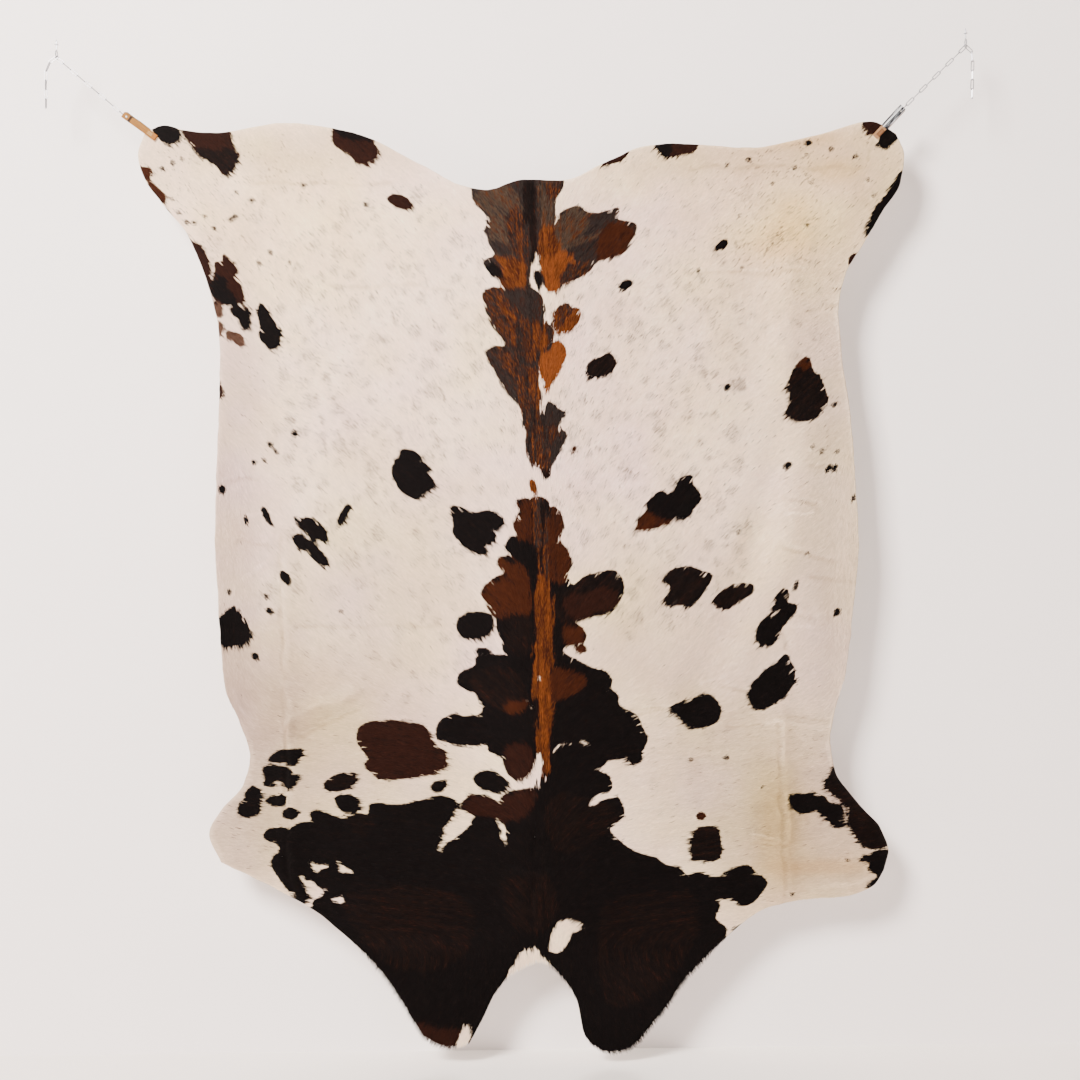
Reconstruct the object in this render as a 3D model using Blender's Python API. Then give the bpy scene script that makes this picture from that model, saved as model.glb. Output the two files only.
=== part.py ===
"""Whole cowhide rug, hung by its two forelegs.

One hide hangs face-on from two spring clips. Each clip is tied by a short
steel chain to a cup hook that screws up into a beam or ceiling.

Frame: +Z up, -Y towards the viewer (hair side), +X to the viewer's right.
Origin: centre of the left hook's flange, on the face that meets the beam.
"""

import math

import bmesh
import bpy
import numpy as np
from mathutils import Matrix, Vector

MM = 0.001

# ---------------------------------------------------------------- sizes (mm)
HIDE_THICKNESS = 3.0
HIDE_COLUMNS = 46
HIDE_ROWS = 34
GAP = 0.35  # air between pieces that meet
HOOK_AIR = 0.85  # more between a straight link and the hook's round bend
TURN_AIR = 0.15  # and between the links where the spare end turns down

HOOK_SPAN = 2209.0  # between the two hooks
HOOK_WIRE = 3.0
HOOK_BEND_RADIUS = 8.0  # centreline
HOOK_NECK = 16.0  # flange to the top of the bend
FLANGE_DIA = 10.0
FLANGE_THICK = 1.2
THREAD_DIA = 3.4
THREAD_LENGTH = 12.0

LINK_WIRE = 2.2
LINK_PITCH = 22.6
LINK_WIDTH = 8.8  # outside
CHAIN_LINKS = 9
HOOK_TO_CLIP = 214.0  # hook wire to the clip's pivot end

CLIP_LENGTH = 99.0
JAW_WIDTH = 15.5
JAW_THICK = 5.5
JAW_SHIFT = 2.5  # the sprung jaw sits this much higher than the plain one
SPRING_LENGTH = 68.0
SPRING_SHEET = 0.8
SPRING_FLANGE = 4.2
RIVET_AT = 11.0  # from the pivot end
RIVET_DIA = 3.2
RIVET_HEAD_DIA = 6.6
RIVET_HEAD_HIGH = 1.3
RIVET_HOLE = 4.0
EYE_LOOP_WIRE = 1.8

# ------------------------------------------------ the hide's outline (mm)
# Each row is one place where the cut edge turns.
TOP_EDGE = (  # place, x, z
    ("left_foreleg_corner", 213, -217),
    ("left_foreleg_rise", 261, -200),
    ("left_foreleg_step", 308, -212),
    ("left_foreleg_dip", 380, -220),
    ("left_shoulder_crown", 548, -200),
    ("left_shoulder_slope", 730, -229),
    ("left_neck_slope", 880, -302),
    ("left_nape_edge", 985, -357),
    ("left_nape_low", 1042, -367),
    ("nape_rise", 1130, -342),
    ("nape_flat", 1224, -345),
    ("right_neck_slope", 1339, -299),
    ("right_shoulder_turn", 1422, -267),
    ("right_shoulder_crown", 1485, -260),
    ("right_shoulder_dip", 1680, -273),
    ("right_foreleg_slope", 1833, -247),
    ("right_foreleg_crown", 1978, -212),
    ("right_foreleg_corner", 2037, -243),
)
LEFT_SIDE = (  # place, z, x
    ("foreleg_corner", -217, 213),
    ("foreleg_end", -271, 195),
    ("foreleg_turn", -330, 211),
    ("foreleg_under", -398, 259),
    ("armpit_slope", -469, 314),
    ("armpit", -604, 365),
    ("chest_edge", -695, 385),
    ("chest", -780, 388),
    ("belly_upper", -942, 383),
    ("belly", -1209, 372),
    ("belly_lower", -1411, 380),
    ("flank_upper", -1569, 392),
    ("flank_slope", -1645, 423),
    ("flank_hollow", -1733, 449),
    ("thigh_upper", -1803, 433),
    ("thigh_out", -1863, 379),
    ("hind_leg_end", -1921, 349),
    ("hind_leg_corner", -1992, 376),
)
RIGHT_SIDE = (  # place, z, x
    ("foreleg_corner", -243, 2037),
    ("foreleg_end", -296, 2056),
    ("foreleg_turn", -365, 2045),
    ("foreleg_under", -435, 1998),
    ("armpit_slope", -507, 1956),
    ("armpit", -584, 1909),
    ("chest_edge", -676, 1891),
    ("chest", -803, 1899),
    ("belly_upper", -937, 1917),
    ("belly", -1087, 1924),
    ("belly_widest", -1228, 1930),
    ("belly_lower", -1396, 1916),
    ("flank_upper", -1546, 1897),
    ("flank_slope", -1646, 1869),
    ("flank_hollow", -1710, 1858),
    ("thigh_upper", -1784, 1867),
    ("thigh_out", -1865, 1922),
    ("thigh_step", -1931, 1979),
    ("hind_leg_end", -1985, 1998),
    ("hind_leg_corner", -2030, 1986),
)
BOTTOM_EDGE = (  # place, x, z
    ("left_hind_corner", 376, -1992),
    ("left_thigh_edge", 498, -2051),
    ("left_thigh_turn", 590, -2103),
    ("left_shank_upper", 681, -2175),
    ("left_shank", 763, -2256),
    ("left_shank_lower", 825, -2349),
    ("left_foot_outer", 872, -2421),
    ("left_foot", 936, -2441),
    ("left_foot_inner", 970, -2433),
    ("left_inner_lower", 1000, -2387),
    ("left_inner", 1046, -2301),
    ("crotch_left", 1081, -2263),
    ("crotch_top", 1147, -2237),
    ("crotch_right", 1212, -2291),
    ("right_inner", 1238, -2345),
    ("right_inner_lower", 1250, -2412),
    ("right_foot_inner", 1271, -2440),
    ("right_foot", 1312, -2458),
    ("right_foot_outer", 1353, -2451),
    ("right_shank_lower", 1430, -2376),
    ("right_shank", 1506, -2273),
    ("right_shank_upper", 1590, -2194),
    ("right_thigh_turn", 1693, -2121),
    ("right_thigh_edge", 1785, -2099),
    ("right_hind_edge", 1892, -2092),
    ("right_hind_turn", 1960, -2067),
    ("right_hind_corner", 1986, -2030),
)

# ------------------------------------------- how the hide hangs (mm)
# A fold is a soft ridge (+, towards the viewer) or trough (-) along a line.
FOLDS = (  # name, x0, z0, x1, z1, half_width, rise
    ("right_trough_upper", 1760, -935, 1695, -1220, 52, -13),
    ("right_trough_lower", 1695, -1220, 1545, -1590, 46, -13),
    ("right_ridge_upper", 1790, -1040, 1735, -1275, 48, 7),
    ("right_ridge_lower", 1735, -1275, 1625, -1565, 42, 7),
    ("right_tension_ridge", 1965, -345, 1770, -585, 44, 7),
    ("right_shoulder_ridge", 1770, -585, 1756, -820, 38, 8),
    ("right_shoulder_trough", 1690, -600, 1672, -930, 62, -9),
    ("left_tension_ridge", 285, -285, 500, -520, 46, 6),
    ("left_armpit_ridge", 300, -330, 425, -640, 36, 4),
    ("left_belly_fold", 520, -1210, 540, -2060, 34, 5),
    ("right_flank_crease", 1740, -1640, 1735, -2060, 28, 5),
    ("left_flank_ridge", 545, -1655, 690, -1588, 26, 7),
    ("rump_valley", 1150, -2235, 1165, -1960, 60, -6),
    ("left_shank_ridge", 720, -2110, 930, -2400, 80, 9),
    ("right_shank_ridge", 1560, -2120, 1320, -2410, 80, 8),
)
# The sheet leans or curls past a line near its edges: forward is positive.
CURLS = (  # name, axis, from_mm, over_mm, forward, low_end, high_end
    ("right_belly_edge", "+x", 1858, 62, 11, -1720, -560),
    ("left_belly_edge", "-x", 440, 66, 7, -1700, -760),
    ("left_shoulder_top", "+z", -345, 140, 9, 430, 900),
    ("right_shoulder_top", "+z", -330, 75, 7, 1400, 1930),
    ("right_hind_leg", "+x", 1880, 110, -9, -2080, -1840),
    ("left_hind_leg", "-x", 450, 100, 8, -2020, -1820),
)
BODY_BOW = 12.0  # the stiff back stands this far forward of the corners
SPINE = (1170.0, -355.0, 1150.0, -2240.0)  # x0, z0, x1, z1 of the backbone
GRIP_FLAT = 42.0  # the hide lies flat this far round each clip's tip
GRIP_EASE = 190.0


# -------------------------------------------------------------- curve maths
def eased_curve(rows, at):
    """Smooth curve through rows of (place, key, value) that never overshoots."""
    rows = sorted((row[1], row[2]) for row in rows)
    x = np.array([r[0] for r in rows], float)
    y = np.array([r[1] for r in rows], float)
    h, rise = np.diff(x), np.diff(y)
    slope = rise / h
    m = np.zeros_like(x)
    for i in range(1, len(x) - 1):
        if slope[i - 1] * slope[i] > 0:
            a, b = 2 * h[i] + h[i - 1], h[i] + 2 * h[i - 1]
            m[i] = (a + b) / (a / slope[i - 1] + b / slope[i])
    m[0], m[-1] = slope[0], slope[-1]
    at = np.clip(np.asarray(at, float), x[0], x[-1])
    i = np.clip(np.searchsorted(x, at) - 1, 0, len(h) - 1)
    t = (at - x[i]) / h[i]
    return (
        y[i] * (1 + 2 * t) * (1 - t) ** 2
        + h[i] * m[i] * t * (1 - t) ** 2
        + y[i + 1] * t * t * (3 - 2 * t)
        + h[i] * m[i + 1] * t * t * (t - 1)
    )


def smooth(low, high, value):
    t = np.clip((value - low) / (high - low), 0.0, 1.0)
    return t * t * (3 - 2 * t)


def spread(count, steepness):
    """count + 1 stations in 0..1, closer together where steepness is high."""
    fine = np.linspace(0, 1, 4001)
    weight = steepness(0.5 * (fine[1:] + fine[:-1]))
    total = np.concatenate([[0], np.cumsum(weight)])
    return np.interp(np.linspace(0, 1, count + 1), total / total[-1], fine)


def outline(u, v):
    """(x, z) of the hide at u across and v up, both 0..1, between its four edges."""
    top_ends = TOP_EDGE[0][1], TOP_EDGE[-1][1]
    bottom_ends = BOTTOM_EDGE[0][1], BOTTOM_EDGE[-1][1]
    left_ends = LEFT_SIDE[-1][1], LEFT_SIDE[0][1]
    right_ends = RIGHT_SIDE[-1][1], RIGHT_SIDE[0][1]
    z_top = eased_curve(TOP_EDGE, top_ends[0] + u * (top_ends[1] - top_ends[0]))
    z_low = eased_curve(
        BOTTOM_EDGE, bottom_ends[0] + u * (bottom_ends[1] - bottom_ends[0])
    )
    x_left = eased_curve(LEFT_SIDE, left_ends[0] + v * (left_ends[1] - left_ends[0]))
    x_right = eased_curve(
        RIGHT_SIDE, right_ends[0] + v * (right_ends[1] - right_ends[0])
    )
    return x_left * (1 - u) + x_right * u, z_low * (1 - v) + z_top * v


def column_steepness(u):
    d = 0.001
    _, low0 = outline(u - d, np.zeros_like(u))
    _, low1 = outline(u + d, np.zeros_like(u))
    _, top0 = outline(u - d, np.ones_like(u))
    _, top1 = outline(u + d, np.ones_like(u))
    fall = np.abs(low1 - low0) / (2 * d * 1700)
    lift = np.abs(top1 - top0) / (2 * d * 1700)
    return 0.55 + np.minimum(fall, 2.4) + 0.8 * lift


def row_steepness(v):
    d = 0.001
    left0, _ = outline(np.zeros_like(v), v - d)
    left1, _ = outline(np.zeros_like(v), v + d)
    right0, _ = outline(np.ones_like(v), v - d)
    right1, _ = outline(np.ones_like(v), v + d)
    lean = (np.abs(left1 - left0) + np.abs(right1 - right0)) / (2 * d * 1800)
    return 0.7 + 1.4 * np.minimum(lean, 1.6)


def grips():
    """The two points where the clips' tips hold the hide."""
    return [clip_point(side, CLIP_LENGTH - 16.0) for side in SIDES]


def forward(x, z):
    """How far the hide stands towards the viewer at (x, z)."""
    x0, z0, x1, z1 = SPINE
    along = np.clip((z - z0) / (z1 - z0), -0.2, 1.2)
    across = np.abs(x - (x0 + (x1 - x0) * along)) / 900.0
    out = BODY_BOW * (1 - across**2) * np.sin(math.pi * np.clip(along, 0, 1) * 0.85)
    for _, x0, z0, x1, z1, half, rise in FOLDS:
        run = math.hypot(x1 - x0, z1 - z0)
        ax, az = (x1 - x0) / run, (z1 - z0) / run
        t = ((x - x0) * ax + (z - z0) * az) / run
        off = (x - x0) * az - (z - z0) * ax
        past = np.maximum(np.maximum(-t, t - 1), 0) * run
        out = out + rise * np.exp(-((off / half) ** 2) - (past / (1.3 * half)) ** 2)
    for _, axis, start, over, lean, low, high in CURLS:
        sign = 1 if axis[0] == "+" else -1
        value, other = (x, z) if axis[1] == "x" else (z, x)
        t = np.clip(sign * (value - start) / over, 0, 1.6)
        fade = smooth(low, low + 160, other) * (1 - smooth(high - 160, high, other))
        out = out + lean * t**2 * fade
    for gx, gz in grips():
        out = out * smooth(GRIP_FLAT, GRIP_EASE, np.hypot(x - gx, z - gz))
    return out


# ------------------------------------------------------------------ clips
# The chain and the clip each have their own slope, from the hook down.
SIDES = (  # side, hook_x, chain_deg, clip_deg, sprung_jaw, tail as (deg, ...)
    ("left", 0.0, -41.2, -36.7, "back", (214.0, 246.0, 270.0, 268.0, 271.0, 269.0)),
    (
        "right",
        HOOK_SPAN,
        -135.9,
        -133.7,
        "front",
        (-44.0, -84.0, -92.0, -91.0, -93.0, -91.0),
    ),
)
HOOK_BOTTOM = -(HOOK_NECK + 2 * HOOK_BEND_RADIUS)  # centreline


def heading(degrees):
    a = math.radians(degrees)
    return np.array([math.cos(a), math.sin(a)])


def clip_point(side, along):
    """(x, z) of a point on a clip's middle line, along from its pivot end."""
    _, hook_x, chain_deg, clip_deg, _, _ = side
    pivot = np.array([hook_x, HOOK_BOTTOM]) + HOOK_TO_CLIP * heading(chain_deg)
    return pivot + along * heading(clip_deg)


def clip_matrix(side):
    """Local x along the clip to its tip, y away from the viewer, z across it."""
    x, z = clip_point(side, 0.0)
    d = heading(side[3])
    m = Matrix.Identity(4)
    m.col[0] = (d[0], 0, d[1], 0)
    m.col[1] = (0, 1, 0, 0)
    m.col[2] = (-d[1], 0, d[0], 0)
    m.col[3] = (x * MM, 0, z * MM, 1)
    return m


# ------------------------------------------------------------- mesh helpers
def material(name, colour, roughness, metallic=0.0):
    mat = bpy.data.materials.new(name)
    mat.use_nodes = True
    shader = mat.node_tree.nodes["Principled BSDF"]
    shader.inputs["Base Color"].default_value = (*colour, 1.0)
    shader.inputs["Roughness"].default_value = roughness
    shader.inputs["Metallic"].default_value = metallic
    return mat


def add_object(name, bm, mat, matrix=None, flat_deg=35.0):
    bmesh.ops.recalc_face_normals(bm, faces=bm.faces)
    if bm.calc_volume(signed=True) < 0:
        bmesh.ops.reverse_faces(bm, faces=bm.faces)
    mesh = bpy.data.meshes.new(name)
    bm.to_mesh(mesh)
    bm.free()
    mesh.materials.append(mat)
    mesh.shade_smooth()
    mesh.set_sharp_from_angle(angle=math.radians(flat_deg))
    return place(name, mesh, matrix)


def place(name, mesh, matrix=None):
    obj = bpy.data.objects.new(name, mesh)
    bpy.context.scene.collection.objects.link(obj)
    if matrix is not None:
        obj.matrix_world = matrix
    return obj


def sweep(bm, path, radii, sides, closed=False, start_up=Vector((0, 1, 0))):
    """A round rod along path (mm), with a radius at each point."""
    rings = []
    count = len(path)
    for i, p in enumerate(path):
        before = path[i - 1] if (i or closed) else p
        after = path[(i + 1) % count] if (i + 1 < count or closed) else p
        a, b = (p - before), (after - p)
        a = a.normalized() if a.length > 1e-6 else a
        b = b.normalized() if b.length > 1e-6 else b
        tangent = (a + b).normalized() if (a + b).length > 1e-6 else b
        side = tangent.cross(start_up)
        if side.length < 1e-6:
            side = Vector((1, 0, 0))
        side.normalize()
        up = side.cross(tangent).normalized()
        rings.append(
            [
                bm.verts.new(
                    MM
                    * (
                        p
                        + radii[i]
                        * (
                            math.cos(2 * math.pi * k / sides) * side
                            + math.sin(2 * math.pi * k / sides) * up
                        )
                    )
                )
                for k in range(sides)
            ]
        )
    pairs = list(zip(rings, rings[1:]))
    if closed:
        pairs.append((rings[-1], rings[0]))
    for low, high in pairs:
        for k in range(sides):
            j = (k + 1) % sides
            bm.faces.new((low[k], low[j], high[j], high[k]))
    if not closed:
        bm.faces.new(rings[0][::-1])
        bm.faces.new(rings[-1])
    return rings


def turned(bm, rows, sides):
    """A turned piece about local y, from rows of (y, radius) in mm."""
    path = [Vector((0, y, 0)) for y, _ in rows]
    rings = []
    for p, (_, r) in zip(path, rows):
        rings.append(
            [
                bm.verts.new(
                    MM
                    * (
                        p
                        + r
                        * Vector(
                            (
                                math.cos(2 * math.pi * k / sides),
                                0,
                                math.sin(2 * math.pi * k / sides),
                            )
                        )
                    )
                )
                for k in range(sides)
            ]
        )
    for low, high in zip(rings, rings[1:]):
        for k in range(sides):
            j = (k + 1) % sides
            bm.faces.new((low[k], low[j], high[j], high[k]))
    bm.faces.new(rings[0][::-1])
    bm.faces.new(rings[-1])


def block(bm, low, high, bevel=0.0):
    """A box between two corners (mm), with its long edges eased."""
    low, high = Vector(low), Vector(high)
    made = bmesh.ops.create_cube(
        bm,
        size=1.0,
        matrix=Matrix.Translation(MM * (low + high) / 2)
        @ Matrix.Diagonal((*(MM * (high - low)), 1.0)),
    )
    if bevel:
        edges = {e for v in made["verts"] for e in v.link_edges}
        bmesh.ops.bevel(
            bm,
            geom=list(edges),
            offset=bevel * MM,
            segments=1,
            affect="EDGES",
            profile=0.5,
        )


def as_tool(name, bm, mat):
    tool = add_object(name, bm, mat)
    tool.hide_render = True
    tool.display_type = "WIRE"
    return tool


def worked(obj, steps):
    """Applies Boolean steps of (operation, tool) and takes the tools away."""
    for operation, tool in steps:
        cut = obj.modifiers.new(tool.name, "BOOLEAN")
        cut.operation = operation
        cut.solver = "EXACT"
        cut.object = tool
    bpy.context.view_layer.update()
    ready = obj.evaluated_get(bpy.context.evaluated_depsgraph_get())
    mesh = bpy.data.meshes.new_from_object(ready)
    obj.modifiers.clear()
    obj.data = mesh
    for _, tool in steps:
        bpy.data.objects.remove(tool, do_unlink=True)
    mesh.shade_smooth()
    mesh.set_sharp_from_angle(angle=math.radians(35))
    return obj


# ------------------------------------------------------------------- pieces
def make_hide(mat):
    """The whole skin as one sheet, thickened both ways about its middle."""
    us = spread(HIDE_COLUMNS, column_steepness)
    vs = spread(HIDE_ROWS, row_steepness)
    u, v = np.meshgrid(us, vs)
    x, z = outline(u, v)
    y = -forward(x, z)
    bm = bmesh.new()
    grid = [
        [
            bm.verts.new((x[j, i] * MM, y[j, i] * MM, z[j, i] * MM))
            for i in range(len(us))
        ]
        for j in range(len(vs))
    ]
    for j in range(len(vs) - 1):
        for i in range(len(us) - 1):
            bm.faces.new(
                (grid[j][i], grid[j][i + 1], grid[j + 1][i + 1], grid[j + 1][i])
            )
    mesh = bpy.data.meshes.new("hide")
    bm.to_mesh(mesh)
    bm.free()
    mesh.materials.append(mat)
    mesh.shade_smooth()
    hide = place("hide", mesh)
    solid = hide.modifiers.new("thickness", "SOLIDIFY")
    solid.thickness = HIDE_THICKNESS * MM
    solid.offset = 0.0
    solid.use_rim = True
    solid.use_even_offset = False
    return hide


def hook_path():
    """(point, radius) down the screw, flange, neck and round the open bend."""
    wire, thread, flange = HOOK_WIRE / 2, THREAD_DIA / 2, FLANGE_DIA / 2
    rows = [
        (0, THREAD_LENGTH, 0.4),
        (0, THREAD_LENGTH - 3.0, thread),
        (0, 0.0, thread),
        (0, 0.0, flange),
        (0, -FLANGE_THICK * 0.6, flange),
        (0, -FLANGE_THICK, flange - 0.6),
        (0, -FLANGE_THICK, wire),
        (0, -HOOK_NECK + 3.0, wire),
    ]
    centre = -(HOOK_NECK + HOOK_BEND_RADIUS)
    for step in range(12):
        a = math.radians(68 - step * (68 + 208) / 11)
        rows.append(
            (
                HOOK_BEND_RADIUS * math.cos(a),
                centre + HOOK_BEND_RADIUS * math.sin(a),
                wire,
            )
        )
    y, z, _ = rows[-1]
    rows.append((y - 1.6, z + 2.4, wire * 0.8))
    return rows


def make_hook(side, mat):
    name, hook_x = side[0], side[1]
    bm = bmesh.new()
    sides = 10
    rings = []
    rows = hook_path()
    for i, (y, z, r) in enumerate(rows):
        if i < 8:
            dy, dz = 0.0, -1.0
        else:
            y0, z0, _ = rows[i - 1]
            y1, z1, _ = rows[min(i + 1, len(rows) - 1)]
            run = math.hypot(y1 - y0, z1 - z0)
            dy, dz = (y1 - y0) / run, (z1 - z0) / run
        # across the wire: the x axis, and its normal in the hook's own plane
        ny, nz = dz, -dy
        rings.append(
            [
                bm.verts.new(
                    (
                        MM * r * math.cos(2 * math.pi * k / sides),
                        MM * (y + r * math.sin(2 * math.pi * k / sides) * ny),
                        MM * (z + r * math.sin(2 * math.pi * k / sides) * nz),
                    )
                )
                for k in range(sides)
            ]
        )
    for low, high in zip(rings, rings[1:]):
        for k in range(sides):
            j = (k + 1) % sides
            bm.faces.new((low[k], low[j], high[j], high[k]))
    bm.faces.new(rings[0][::-1])
    bm.faces.new(rings[-1])
    return add_object(
        f"hook_{name}", bm, mat, Matrix.Translation((hook_x * MM, 0, 0)), 40.0
    )


def link_mesh(mat):
    """One long link about its own middle: length along x, width along z."""
    reach = (LINK_PITCH + LINK_WIRE + GAP) / 2
    bend = (LINK_WIDTH - LINK_WIRE) / 2
    path = []
    for end in (0, 180):
        for a in (-90, -45, 0, 45, 90):
            t = math.radians(end + a)
            path.append(
                Vector(
                    (
                        (1 if end == 0 else -1) * (reach - bend) + bend * math.cos(t),
                        0,
                        bend * math.sin(t),
                    )
                )
            )
    bm = bmesh.new()
    sweep(bm, path, [LINK_WIRE / 2] * len(path), 6, closed=True)
    bmesh.ops.recalc_face_normals(bm, faces=bm.faces)
    mesh = bpy.data.meshes.new("link")
    bm.to_mesh(mesh)
    bm.free()
    mesh.materials.append(mat)
    mesh.shade_smooth()
    return mesh


def link_matrix(x, y, z, degrees, edge_on):
    m = Matrix.Translation((x * MM, y * MM, z * MM))
    m = m @ Matrix.Rotation(-math.radians(degrees), 4, "Y")
    if edge_on:
        m = m @ Matrix.Rotation(math.pi / 2, 4, "X")
    return m


def make_chains(side, mesh):
    """The taut run to the clip, and the spare end that hangs from the same hook."""
    name, hook_x, chain_deg, _, _, tail = side
    hold = (HOOK_WIRE + LINK_WIRE) / 2 + HOOK_AIR
    half = (LINK_PITCH + LINK_WIRE + GAP) / 2
    hook = np.array([hook_x, HOOK_BOTTOM])
    d = heading(chain_deg)
    for i in range(CHAIN_LINKS):
        x, z = hook + d * (half - hold + i * LINK_PITCH)
        place(
            f"chain_{name}_{i + 1}",
            mesh,
            link_matrix(x, 1.5, z, chain_deg, i % 2 == 1),
        )
    # a link that lies in the plane of the turn lets the next one swing in its bend
    bend = (LINK_WIDTH - LINK_WIRE) / 2
    play = bend - (LINK_WIRE + GAP + TURN_AIR)
    centre, last = None, None
    for i, degrees in enumerate(tail):
        d = heading(degrees)
        if centre is None:
            centre = hook + d * (half - hold)
        elif i % 2 == 1:
            centre = centre + last * (half - bend) + d * (play + half)
        else:
            centre = centre + last * (half + play) + d * (half - bend)
        last = d
        place(
            f"chain_{name}_tail_{i + 1}",
            mesh,
            link_matrix(centre[0], -1.5, centre[1], degrees, i % 2 == 1),
        )


def jaw(name, front, shift, mat, matrix):
    slot = HIDE_THICKNESS / 2 + GAP
    y = (-(slot + JAW_THICK), -slot) if front else (slot, slot + JAW_THICK)
    bm = bmesh.new()
    block(
        bm,
        (0.0, y[0], shift - JAW_WIDTH / 2),
        (CLIP_LENGTH, y[1], shift + JAW_WIDTH / 2),
        0.9,
    )
    body = add_object(name, bm, mat)
    bm = bmesh.new()
    turned(bm, ((y[0] - 2, RIVET_HOLE / 2), (y[1] + 2, RIVET_HOLE / 2)), 12)
    bmesh.ops.translate(bm, verts=bm.verts, vec=(RIVET_AT * MM, 0, 0))
    worked(body, [("DIFFERENCE", as_tool(name + "_hole", bm, mat))])
    body.matrix_world = matrix
    return body


def spring(name, front, shift, mat, matrix):
    """A folded channel over the sprung jaw, open towards the hide."""
    slot = HIDE_THICKNESS / 2 + GAP
    inner = slot + JAW_THICK + GAP
    out = inner + SPRING_SHEET
    half_in = JAW_WIDTH / 2 + GAP
    half_out = half_in + SPRING_SHEET
    s = -1 if front else 1
    section = (  # y, z round the folded sheet
        (out, half_out - 0.7),
        (out - 0.7, half_out),
        (inner - SPRING_FLANGE, half_out),
        (inner - SPRING_FLANGE, half_in),
        (inner, half_in),
        (inner, -half_in),
        (inner - SPRING_FLANGE, -half_in),
        (inner - SPRING_FLANGE, -half_out),
        (out - 0.7, -half_out),
        (out, -half_out + 0.7),
    )
    bm = bmesh.new()
    ends = []
    for x in (0.6, SPRING_LENGTH):
        ends.append(
            [
                bm.verts.new((x * MM, s * y * MM, (shift + z) * MM))
                for y, z in section
            ]
        )
    count = len(section)
    for k in range(count):
        j = (k + 1) % count
        bm.faces.new((ends[0][k], ends[0][j], ends[1][j], ends[1][k]))
    bm.faces.new(ends[0][::-1])
    bm.faces.new(ends[1])
    body = add_object(name, bm, mat)
    bm = bmesh.new()
    low, high = sorted((s * (inner - 1), s * (out + 1)))
    turned(bm, ((low, RIVET_HOLE / 2), (high, RIVET_HOLE / 2)), 12)
    bmesh.ops.translate(bm, verts=bm.verts, vec=(RIVET_AT * MM, 0, 0))
    worked(body, [("DIFFERENCE", as_tool(name + "_hole", bm, mat))])
    body.matrix_world = matrix
    return body


def rivet(name, front_sprung, mat, matrix):
    slot = HIDE_THICKNESS / 2 + GAP
    plain = slot + JAW_THICK + GAP
    clad = plain + SPRING_SHEET + GAP
    front, back = (clad, plain) if front_sprung else (plain, clad)
    shaft, head = RIVET_DIA / 2, RIVET_HEAD_DIA / 2
    rows = (
        (-front - RIVET_HEAD_HIGH, head * 0.45),
        (-front - RIVET_HEAD_HIGH * 0.7, head * 0.8),
        (-front, head),
        (-front, shaft),
        (back, shaft),
        (back, head),
        (back + RIVET_HEAD_HIGH * 0.7, head * 0.8),
        (back + RIVET_HEAD_HIGH, head * 0.45),
    )
    bm = bmesh.new()
    turned(bm, rows, 12)
    bmesh.ops.translate(bm, verts=bm.verts, vec=(RIVET_AT * MM, 0, 0))
    return add_object(name, bm, mat, matrix)


def eye(name, side, mat, matrix):
    """A wire loop for the last link, on a stem held round the rivet."""
    chain_end = LINK_PITCH * (CHAIN_LINKS - 1) + (LINK_PITCH + LINK_WIRE + GAP)
    chain_end -= (HOOK_WIRE + LINK_WIRE) / 2 + HOOK_AIR
    keep = (EYE_LOOP_WIRE + LINK_WIRE) / 2 + GAP
    far = HOOK_TO_CLIP - (chain_end - keep)  # loop's far end, from the pivot end
    turn = Matrix.Rotation(-math.radians(side[2] - side[3]), 3, "Y")
    bend = 2.7
    path = []
    for a in range(0, 360, 36):
        t = math.radians(a)
        reach = -far + bend + bend * math.cos(t)
        if math.cos(t) > 0:
            reach += math.cos(t) * (far - 2 * bend - 2.6)
        path.append(turn @ Vector((reach, 1.5 + bend * math.sin(t), 0)))
    bm = bmesh.new()
    sweep(
        bm,
        path,
        [EYE_LOOP_WIRE / 2] * len(path),
        6,
        closed=True,
        start_up=Vector((0, 0, 1)),
    )
    body = add_object(name, bm, mat)
    steps = []
    bm = bmesh.new()
    stem = [
        turn @ Vector((-3.4, 1.2, 0)),
        Vector((-0.5, 0.3, 0)),
        Vector((2.5, 0, 0)),
        Vector((RIVET_AT - 3.0, 0, 0)),
    ]
    sweep(bm, stem, [1.25, 1.25, 1.2, 1.2], 8)
    steps.append(("UNION", as_tool(name + "_stem", bm, mat)))
    bm = bmesh.new()
    turned(bm, ((-1.15, 4.4), (1.15, 4.4)), 14)
    bmesh.ops.translate(bm, verts=bm.verts, vec=(RIVET_AT * MM, 0, 0))
    steps.append(("UNION", as_tool(name + "_washer", bm, mat)))
    bm = bmesh.new()
    turned(bm, ((-3.0, RIVET_HOLE / 2), (3.0, RIVET_HOLE / 2)), 12)
    bmesh.ops.translate(bm, verts=bm.verts, vec=(RIVET_AT * MM, 0, 0))
    steps.append(("DIFFERENCE", as_tool(name + "_hole", bm, mat)))
    worked(body, steps)
    body.matrix_world = matrix
    return body


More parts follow.
